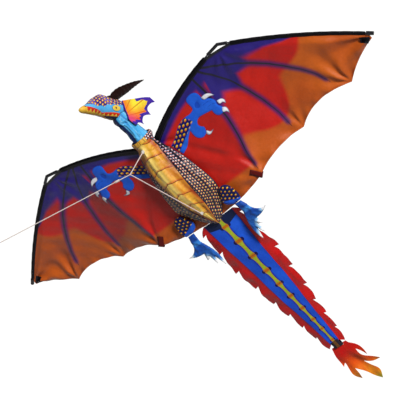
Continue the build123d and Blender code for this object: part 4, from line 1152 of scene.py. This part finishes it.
# Cheek frills
def frill_print():
    s = Shader("frill_print")
    out, fan = s["out"], s["fan"]
    near = s.mix(s.step(fan, 0.15, 0.6), "#d84898", "#f2701c")
    zig = abs((fan * 11.0).fract() - 0.5) * 11.0 + 7.0
    colour = s.layers(
        s.mix(s.step(fan, 0.2, 0.5), "#ee6a4a", "#f9a030"),
        (s.step(fan, 0.38, 0.6), "#f4e64a"),
        (s.step(out, 46.0, 6.0) * 0.8, near),
        (s.step(abs((fan * 6.0).fract() - 0.5), 0.09, 0.02) * 0.75, "#c2381a"),
        (s.step(s["tip"] - zig, 0.7, -0.7), s.mottled("#35157c", "#5a3ab4", 30.0)),
        (s.step(out, 4.5, 3.0), "#3a1c86"),
    )
    return s.cloth(colour, crinkle=0.5)


frill_cloth = frill_print()
FRILL_CURVE = chained(
    (18, 290),
    (18, (62, 265), (100, 241), (111, 232)), (8, (116, 211)), (10, (96, 219), (78, 220)), (8, (65, 213), (57, 201)),
    (10, (41, 212), (28, 215)), (8, (17, 210), (9, 200)), (6, (5, 210), (-2, 216)), (5, (-17, 218)), (8, (-20, 245)),
    (18, (18, 290)),
)
flat, faces, _ = fill(FRILL_CURVE, 2.4)
out = (flat - HINGE_TOP) @ np.array((-HINGE_RUN[1], HINGE_RUN[0]))
fan = np.clip((np.arctan2(flat[:, 1] - 262, flat[:, 0] + 34) + 1.15) / 1.7, 0, 1)
tip = away(flat, FRILL_CURVE[10:-24])[0]
for hand, side in HANDS:
    wave = 1.8 * np.sin(fan * 24 + 0.5 * hand) * smooth(out, 5, 70) + 0.5 * np.sin(flat[:, 0] / 6 + flat[:, 1] / 9)
    # the left frill's low front corner is swept back
    swept = 0 if hand > 0 else 20 * (1 - smooth(flat[:, 0], 4, 40)) * (1 - smooth(flat[:, 1], 230, 262))
    shape = np.stack([26.2 + 0.13 * out + wave, flat[:, 0] + swept, flat[:, 1] + 0.3 * swept], 1)
    made = piece(f"{side}_frill_cloth", shape, faces, frill_cloth, "head", f"{side}_frill",
                 {"out": out, "fan": fan, "tip": tip}, 0.6, hand)

# ---------------- Hind legs ----------------
LEG_Y, KNEE_Z = -14.0, -131.0


def pillow(outline, depth, pitch):
    """Stuffed flat shape: both skins meet at the outline."""
    flat, faces, edge = fill(outline, pitch)
    t = np.clip(edge / (depth * 0.95), 0, 1)
    bulge = depth / 2 * np.sqrt(1 - (1 - t) ** 2) * (1 + 0.06 * np.sin(flat[:, 0] / 4) * np.sin(flat[:, 1] / 5))
    inner, other = np.flatnonzero(edge > 1e-3), np.arange(len(flat))
    other[inner] = len(flat) + np.arange(len(inner))
    front, rear = (np.stack([flat[:, 0], LEG_Y + b, flat[:, 1]], 1) for b in (-bulge, bulge))
    return np.vstack([front, rear[inner]]), np.vstack([faces, other[faces][:, ::-1]]), np.r_[edge, edge[inner]]


def thigh_print():
    s = Shader("thigh_print")
    colour = dotted(s, s["across"], s["high"], 14.0, 10.5, "#101850", "#0a0d34", 0.25)
    blue = s.mottled("#1b4fc0", "#3a7fe8", 20.0)
    return s.cloth(s.mix(s.step(s["low"], 0.8, -0.8), colour, blue), crinkle=0.5)


def shank_print():
    s = Shader("shank_print", sheen=0.04)
    colour = s.layers(
        s.mottled("#0d3486", "#2f74cc", 30.0, 3.0),
        (s["pale"], "#4c98e0"),
        (s.step(s["tip"], 27.0, 19.0), "#a9d6f8"),
        (s.step(s["tip"], 19.0, 15.5), "#fafafc"),
        (s.step(s["crease"], 1.3, 0.3) * 0.6, "#123a94"),
    )
    return s.cloth(colour, crinkle=0.5)


thigh_loop = closed(through(((84, -133), (66, -121), (61, -96), (79, -68), (103, -70), (115, -97), (112, -126),
                             (84, -133), (66, -121)), 120)[12:-12])
thigh_loop[:, 1] = np.maximum(thigh_loop[:, 1], -129.5)
thigh_loop[:, 0] = np.maximum(thigh_loop[:, 0], np.interp(thigh_loop[:, 1], BODY[:, 0], BODY[:, 1]) + 1.2)
thigh_loop = resampled(thigh_loop, 2.2)[:-1]
SHANK = np.vstack([
    ((84, KNEE_Z - 0.5), (107, KNEE_Z - 0.5), (110, -141)),
    arc((113, -150), (121, -171), (156, -184), 22), arc((156, -184), (130, -196), (107, -199), 18)[1:],
    ((110, -210),), arc((113, -221), (104, -219), (99, -212), 8),
    ((97, -230),), arc((95, -247), (88, -232), (86, -222), 8),
    ((81, -242),), arc((76, -262), (71, -224), (80, -184), 26), ((84, -172), (87, -162), (85.5, -146)),
])
shank_loop = resampled(closed(SHANK), 2.0)[:-1]
TIPS = np.array(((156, -184), (113, -221), (95, -247), (76, -262)), float)
TOES = (
    ((99, -212), (98, -200), (95, -188)), ((86, -222), (86, -208), (84, -196)), ((107, -199), (106, -190), (104, -180)),
)
thigh_cloth, shank_cloth = thigh_print(), shank_print()
for hand, side in HANDS:
    points, faces, edge = pillow(thigh_loop, 12.0, 2.2)
    x, z = points[:, 0], points[:, 2]
    shape = puff(points, faces, edge < 1e-3, grow=0.05, pressure=3.0, cap=1.2)
    piece(f"{side}_thigh_cloth", shape, faces, thigh_cloth, "airframe", f"{side}_thigh",
          {"low": z + 110 + 0.35 * (x - 80), "across": x + z * 0.4 + 200, "high": z - x * 0.4 + 400}, hand=hand)
    points, faces, edge = pillow(shank_loop, 9.5, 2.0)
    flat, down = points[:, [0, 2]], -points[:, 2]
    tip = np.min([np.linalg.norm(flat - p, axis=1) for p in TIPS], axis=0)
    crease = np.min([away(flat, through(f, 8))[0] for f in TOES], axis=0)
    pale = smooth(down, 150, 158) * (1 - smooth(down, 164, 170)) * 0.9 + 0.3 * smooth(down, 180, 200)
    shape = puff(points, faces, edge < 1e-3, grow=0.04, pressure=3.0, cap=1.0)
    piece(f"{side}_shank_cloth", shape, faces, shank_cloth, f"{side}_lower_leg", f"{side}_shank",
          {"tip": tip, "crease": crease, "pale": pale}, hand=hand)

# ---------------- Tail ----------------
TAIL_TOP, TAIL_END = -139.6, -642
TAIL_EDGE = through(((56, TAIL_TOP), (49, -230), (37, -404), (15, TAIL_END)), 160)
JOINTS = np.array((-139, -172, -230, -289, -348, -402, -451, -501, -547, -585, -631, -660), float)


def tail_half(z):
    return np.interp(-z, -TAIL_EDGE[:, 1], TAIL_EDGE[:, 0])


def knob_size(z):
    return np.interp(-z, (139, 300, 640), (14.0, 12.5, 6.5))


def tail_y(x, z):
    """Ripples of the tail's cloth and the way its edges fall back."""
    off = np.abs(x) / tail_half(z)
    ripple = 1.6 * off**2 * np.sin(z / 33 + np.sign(x)) + 0.5 * off * np.sin(z / 11 + x / 9)
    return ripple + 0.05 * np.maximum(np.abs(x) - 10, 0)


def tail_print():
    s = Shader("tail_print")
    bone = s["bone"]
    inner = s.mix(s.math("MAXIMUM", s.step(bone, -2.2, -0.9), s.step(s["end"], 0.66, 0.92)),
                  s.mottled("#9cbc2c", "#d8dc50", 30.0), "#d8841a")
    colour = s.layers(
        s.mottled("#1c55d8", "#3a80f4", 9.0, 3.0),
        (s.step(s["halo"], 7.0, 2.0), "#1a48c0"),
        (s.step(s["spot"], 0.6, -0.6), "#15104e"),
        # painted shadow: a navy band across the tail's top, where the body's shadow falls on it
        (s.step(s["top"], 0.6, -0.6), "#122348"),
        (s.step(bone, 0.5, -0.2), "#20407a"),
        (s.step(bone, -0.3, -0.8), inner),
        (s.step(s["joint"], 1.1, 0.4) * s.step(bone, 0.3, -0.3), "#3f5a14"),
        (s.step(s["edge"], 2.2, 1.2) * 0.5, "#12309a"),
    )
    return s.cloth(colour, crinkle=0.45)


across, tail_z = np.meshgrid(np.linspace(-1, 1, 57), np.linspace(TAIL_TOP, TAIL_END, 210))
x, z = (across * tail_half(tail_z)).ravel(), tail_z.ravel()
flat, off = pairs(x, z), np.abs(x)
k = np.clip(np.searchsorted(-JOINTS, -z, side="right") - 1, 0, len(JOINTS) - 2)
end = np.abs(2 * (JOINTS[k] - z) / (JOINTS[k] - JOINTS[k + 1]) - 1)
bone = off - knob_size(z) * (0.52 + 0.48 * end**2.6) * (1 - 0.45 * smooth(end, 0.93, 1.0))
spot = np.min([np.hypot(off - knob_size(j) * 0.95, z - j) - knob_size(j) * 0.52 for j in JOINTS[1:-1]], axis=0)
edge = np.where(x > 0, away(flat, TAIL_EDGE)[0], away(flat, TAIL_EDGE * (-1, 1))[0])
joint = np.min([np.abs(z - j + 0.03 * off) for j in JOINTS[1:-1]], axis=0)
# the "top" mark places the lower edge of the painted body shadow, about 36 mm below the tail's top and lower towards
# the edges
tail = piece("tail_cloth", np.stack([x, tail_y(x, z), z], 1), grid_faces(*tail_z.shape), tail_print(), "airframe",
             "tail_panel",
             {"bone": bone, "end": end, "spot": spot, "joint": joint, "halo": np.maximum(bone, 0) + 2 * end,
              "top": -(z + 176 - 0.25 * off), "edge": edge}, 0.5)


def red_print(name, dark, light):
    s = Shader(name, sheen=0.04, specular=0.24)
    colour = s.layers(s.mottled(dark, light, 8.0, 3.0), (s.step(s["seam"], 4.0, 0.8) * 0.55, "#6e0a3a"),
                      (s.step(s["edge"], 1.5, 0.8) * 0.5, "#7a0608"))
    return s.cloth(colour, crinkle=0.5, rough=(0.32, 0.52))


SCALLOPS = np.array(((82, -164), (80, -232), (86, -307), (74, -378), (67, -447), (55, -500), (47, -552), (42, -604),
                     (31, -652)), float)
rungs = np.linspace(TAIL_END + 0.5, TAIL_TOP, 150)
inner_edge = pairs(tail_half(rungs) - 1.6, rungs)
outer, here = [], np.array((59.0, TAIL_TOP))
for there in SCALLOPS:
    over = np.array((here[1] - there[1], there[0] - here[0])) * 0.085
    outer.append(resampled(arc(here, (here + there) / 2 + over, there, 18), 3.2))
    here = there - (0.17 * there[0], -3)
outer = np.vstack(outer)
flat, faces, _ = fill(np.vstack([resampled(inner_edge, 3.2), outer]), 3.2)
out, (x, z) = away(flat, inner_edge)[0], flat.T
# the left ruffle gets a darker copy of the red: painted shade, as if it faced away from the light
for (hand, side), lit_and_shaded_reds in zip(HANDS, (("#c40404", "#f01008"), ("#a00208", "#d00a0c"))):
    ruffle = 3.2 * np.sin(z / 12.5 + hand) * smooth(out, 3, 34) + 1.2 * np.sin(z / 5.2) * smooth(out, 14, 40)
    y = (tail_y(hand * x, z) + 0.7) * (1 - smooth(out, 0, 20)) + 0.10 * out + ruffle
    made = piece(f"{side}_tail_ruffle", np.stack([x, y, z], 1), faces, red_print(f"{side}_red", *lit_and_shaded_reds), "airframe",
                 f"{side}_tail_frill", {"seam": out, "edge": away(flat, outer)[0]}, 0.5, hand)

# Pocket over the tail's end, and the flame that is sewn to it
s = Shader("tail_pocket_cloth")
stripe = s.step(s["mid"], 5.5, 4.5) * 0.6
pocket_dark = s.cloth(s.mix(stripe, s.mottled("#10101c", "#2a1f2c", 40.0, 3.0), "#9a6a1c"), crinkle=0.5)
corners = []
for cy, cz, a in ((6.0, -637.5, 0), (0.6, -637.5, 90), (0.6, -658.5, 180), (6.0, -658.5, 270)):
    corners += [(0, cy + 1.7 * math.cos(b), cz + 1.7 * math.sin(b)) for b in np.radians(np.linspace(a, a + 90, 6))]
path = closed(np.array(corners))
spread = []
for a, b in zip(path[:-1], path[1:]):
    steps = max(1, int(np.linalg.norm(b - a) / 2.5))
    spread += [a + (b - a) * i / steps for i in range(steps)]
points, faces = ribbon(np.array(spread), (1, 0, 0), 28, 0.7, True)
made = piece("tail_pocket", points, faces, pocket_dark, "airframe", "tail_end_pocket",
             {"mid": np.abs(points[:, 0])})


def flame_print():
    s = Shader("flame_print", sheen=0.05)
    down = s["down"] + (s.noise(16.0) - 0.5) * 0.25
    colour = s.layers(
        "#e41c10",
        (s.step(down, 0.12, 0.42), "#f36a1a"),
        (s.step(down, 0.42, 0.72), "#f7a02c"),
        (s.step(down, 0.78, 1.0), "#dfe23c"),
        (s.step(s.noise(45.0, 3.0, (1, 1, 0.25)), 0.52, 0.66) * 0.4, "#d93a10"),
    )
    return s.cloth(colour, crinkle=0.6)


FLAME_Z, FLAME_LENGTH = -664.5, 147
FLAME_TOP = ((-29, FLAME_Z), (-26, -655), (-16, -655), (-15.5, -661.2), (15.5, -661.2), (16, -655), (28, -655))
flame_loop = np.vstack([FLAME_TOP, chained(
    (31, FLAME_Z),
    (24, (48, -684), (54, -708), (50, -727)), (24, (45, -708), (35, -692)),
    (24, (36, -716), (52, -737), (73, -757)), (24, (52, -756), (36, -748), (22, -739)),
    (24, (36, -762), (49, -784), (36, -812)), (24, (24, -796), (12, -772), (-12, -742)),
    (24, (-11, -762), (-18, -782)), (24, (-30, -762), (-30, -738), (-27, -714)),
    (24, (-31, -716), (-39, -724)), (24, (-37, -692), (-29, FLAME_Z)),
)])
flat, faces, _ = fill(resampled(closed(flame_loop), 2.6)[:-1], 2.6)
x, z = flat.T
down = (FLAME_Z - z) / FLAME_LENGTH
wave = (5.0 * np.sin(z / 17 + x / 24) + 2.0 * np.sin(x / 7 + z / 29)) * smooth(down, 0.02, 0.5)
flame = piece("flame_cloth", np.stack([x, 3.5 + wave, z], 1), faces, flame_print(), "flame",
              "tail_flame", {"down": down}, 0.5)


# ---------------- Frame parts that stay as they are ----------------
def hard(name, dark, light, scale, roughness, stretch=(1, 1, 1), metallic=0.0, coat=0.0):
    s = Shader(name, sheen=0.0, metallic=metallic, coat=coat)
    for key, value in (
        ("Base Color", s.mottled(dark, light, scale, 4.0, stretch)),
        ("Roughness", s.noise(60.0, 3.0) * 0.16 + (roughness - 0.08)),
        ("Normal", s.bump(s.noise(scale * 6, 2.0, stretch), 0.2, 0.0002)),
    ):
        s.put(s.surface.inputs[key], value)
    return s.material


rod = hard("fibreglass", "#0b0b0d", "#2a2a2e", 220.0, 0.35, coat=0.4)
spine_rod = hard("spine_fibreglass", "#0d0d10", "#303036", 240.0, 0.35, (1, 1, 0.02), coat=0.4)
plastic = hard("moulded_plastic", "#08080a", "#1a1a1e", 90.0, 0.45)
vinyl = hard("soft_vinyl", "#060608", "#16161a", 50.0, 0.32, coat=0.3)
metal = hard("brushed_ferrule", "#8a8c90", "#c8cacd", 300.0, 0.3, (1, 1, 0.03), metallic=1.0)
dressing = {"nose_hub": plastic, "spine_upper": spine_rod, "spine_lower": spine_rod, "spine_ferrule": metal,
            "tail_end_cap": vinyl}
for _, side in HANDS:
    dressing.update({f"{side}_root_tube": vinyl, f"{side}_inner_spar": rod, f"{side}_outer_spar": rod,
                     f"{side}_wrist_connector": vinyl, f"{side}_tip_cap": vinyl, f"{side}_batten_rod": rod})
for node, material in dressing.items():
    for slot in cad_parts[node].material_slots:
        slot.material = material

# ---------------- Stage ----------------
FLOOR_SIZE, FLOOR_Z = 120, -1.6
LAMPS = (("key", (0.84, -0.42, 0.36), 6.3, 12), ("top", (0.05, 0.5, 0.86), 0.6, 30))  # towards, strength, degrees wide
bpy.ops.mesh.primitive_plane_add(size=FLOOR_SIZE, location=(0, 0, FLOOR_Z))
floor = bpy.context.object
floor.name = "floor"
floor.visible_diffuse = False  # its bounce would fill every shadow
s = Shader("pale_floor", sheen=0.0, roughness=0.95)
s.put(s.surface.inputs["Base Color"], s.mottled("#f3f3f2", "#f8f8f7", 0.4))
floor.data.materials.append(s.material)
world = bpy.data.worlds.new("studio")
bpy.context.scene.world = world
world.use_nodes = True
nodes, links = world.node_tree.nodes, world.node_tree.links
light, wall = nodes["Background"], nodes.new("ShaderNodeBackground")
for background, colour, strength in ((light, (1.0, 1.0, 1.0, 1), 0.3), (wall, (0.93, 0.93, 0.92, 1), 1.0)):
    background.inputs[0].default_value, background.inputs[1].default_value = colour, strength
either = nodes.new("ShaderNodeMixShader")  # the camera sees the wall, and the kite is lit by the dimmer light
from_camera = nodes.new("ShaderNodeLightPath").outputs["Is Camera Ray"]
for socket, source in zip(either.inputs, (from_camera, light.outputs[0], wall.outputs[0])):
    links.new(source, socket)
links.new(either.outputs[0], nodes["World Output"].inputs[0])
for name, toward, strength, angle in LAMPS:
    lamp = bpy.data.lights.new(name, "SUN")
    lamp.energy, lamp.angle = strength, math.radians(angle)
    sun = linked(name, lamp)
    sun.rotation_mode = "QUATERNION"
    sun.rotation_quaternion = Vector(toward).to_track_quat("Z", "Y")
bpy.context.scene.view_settings.view_transform = "Standard"
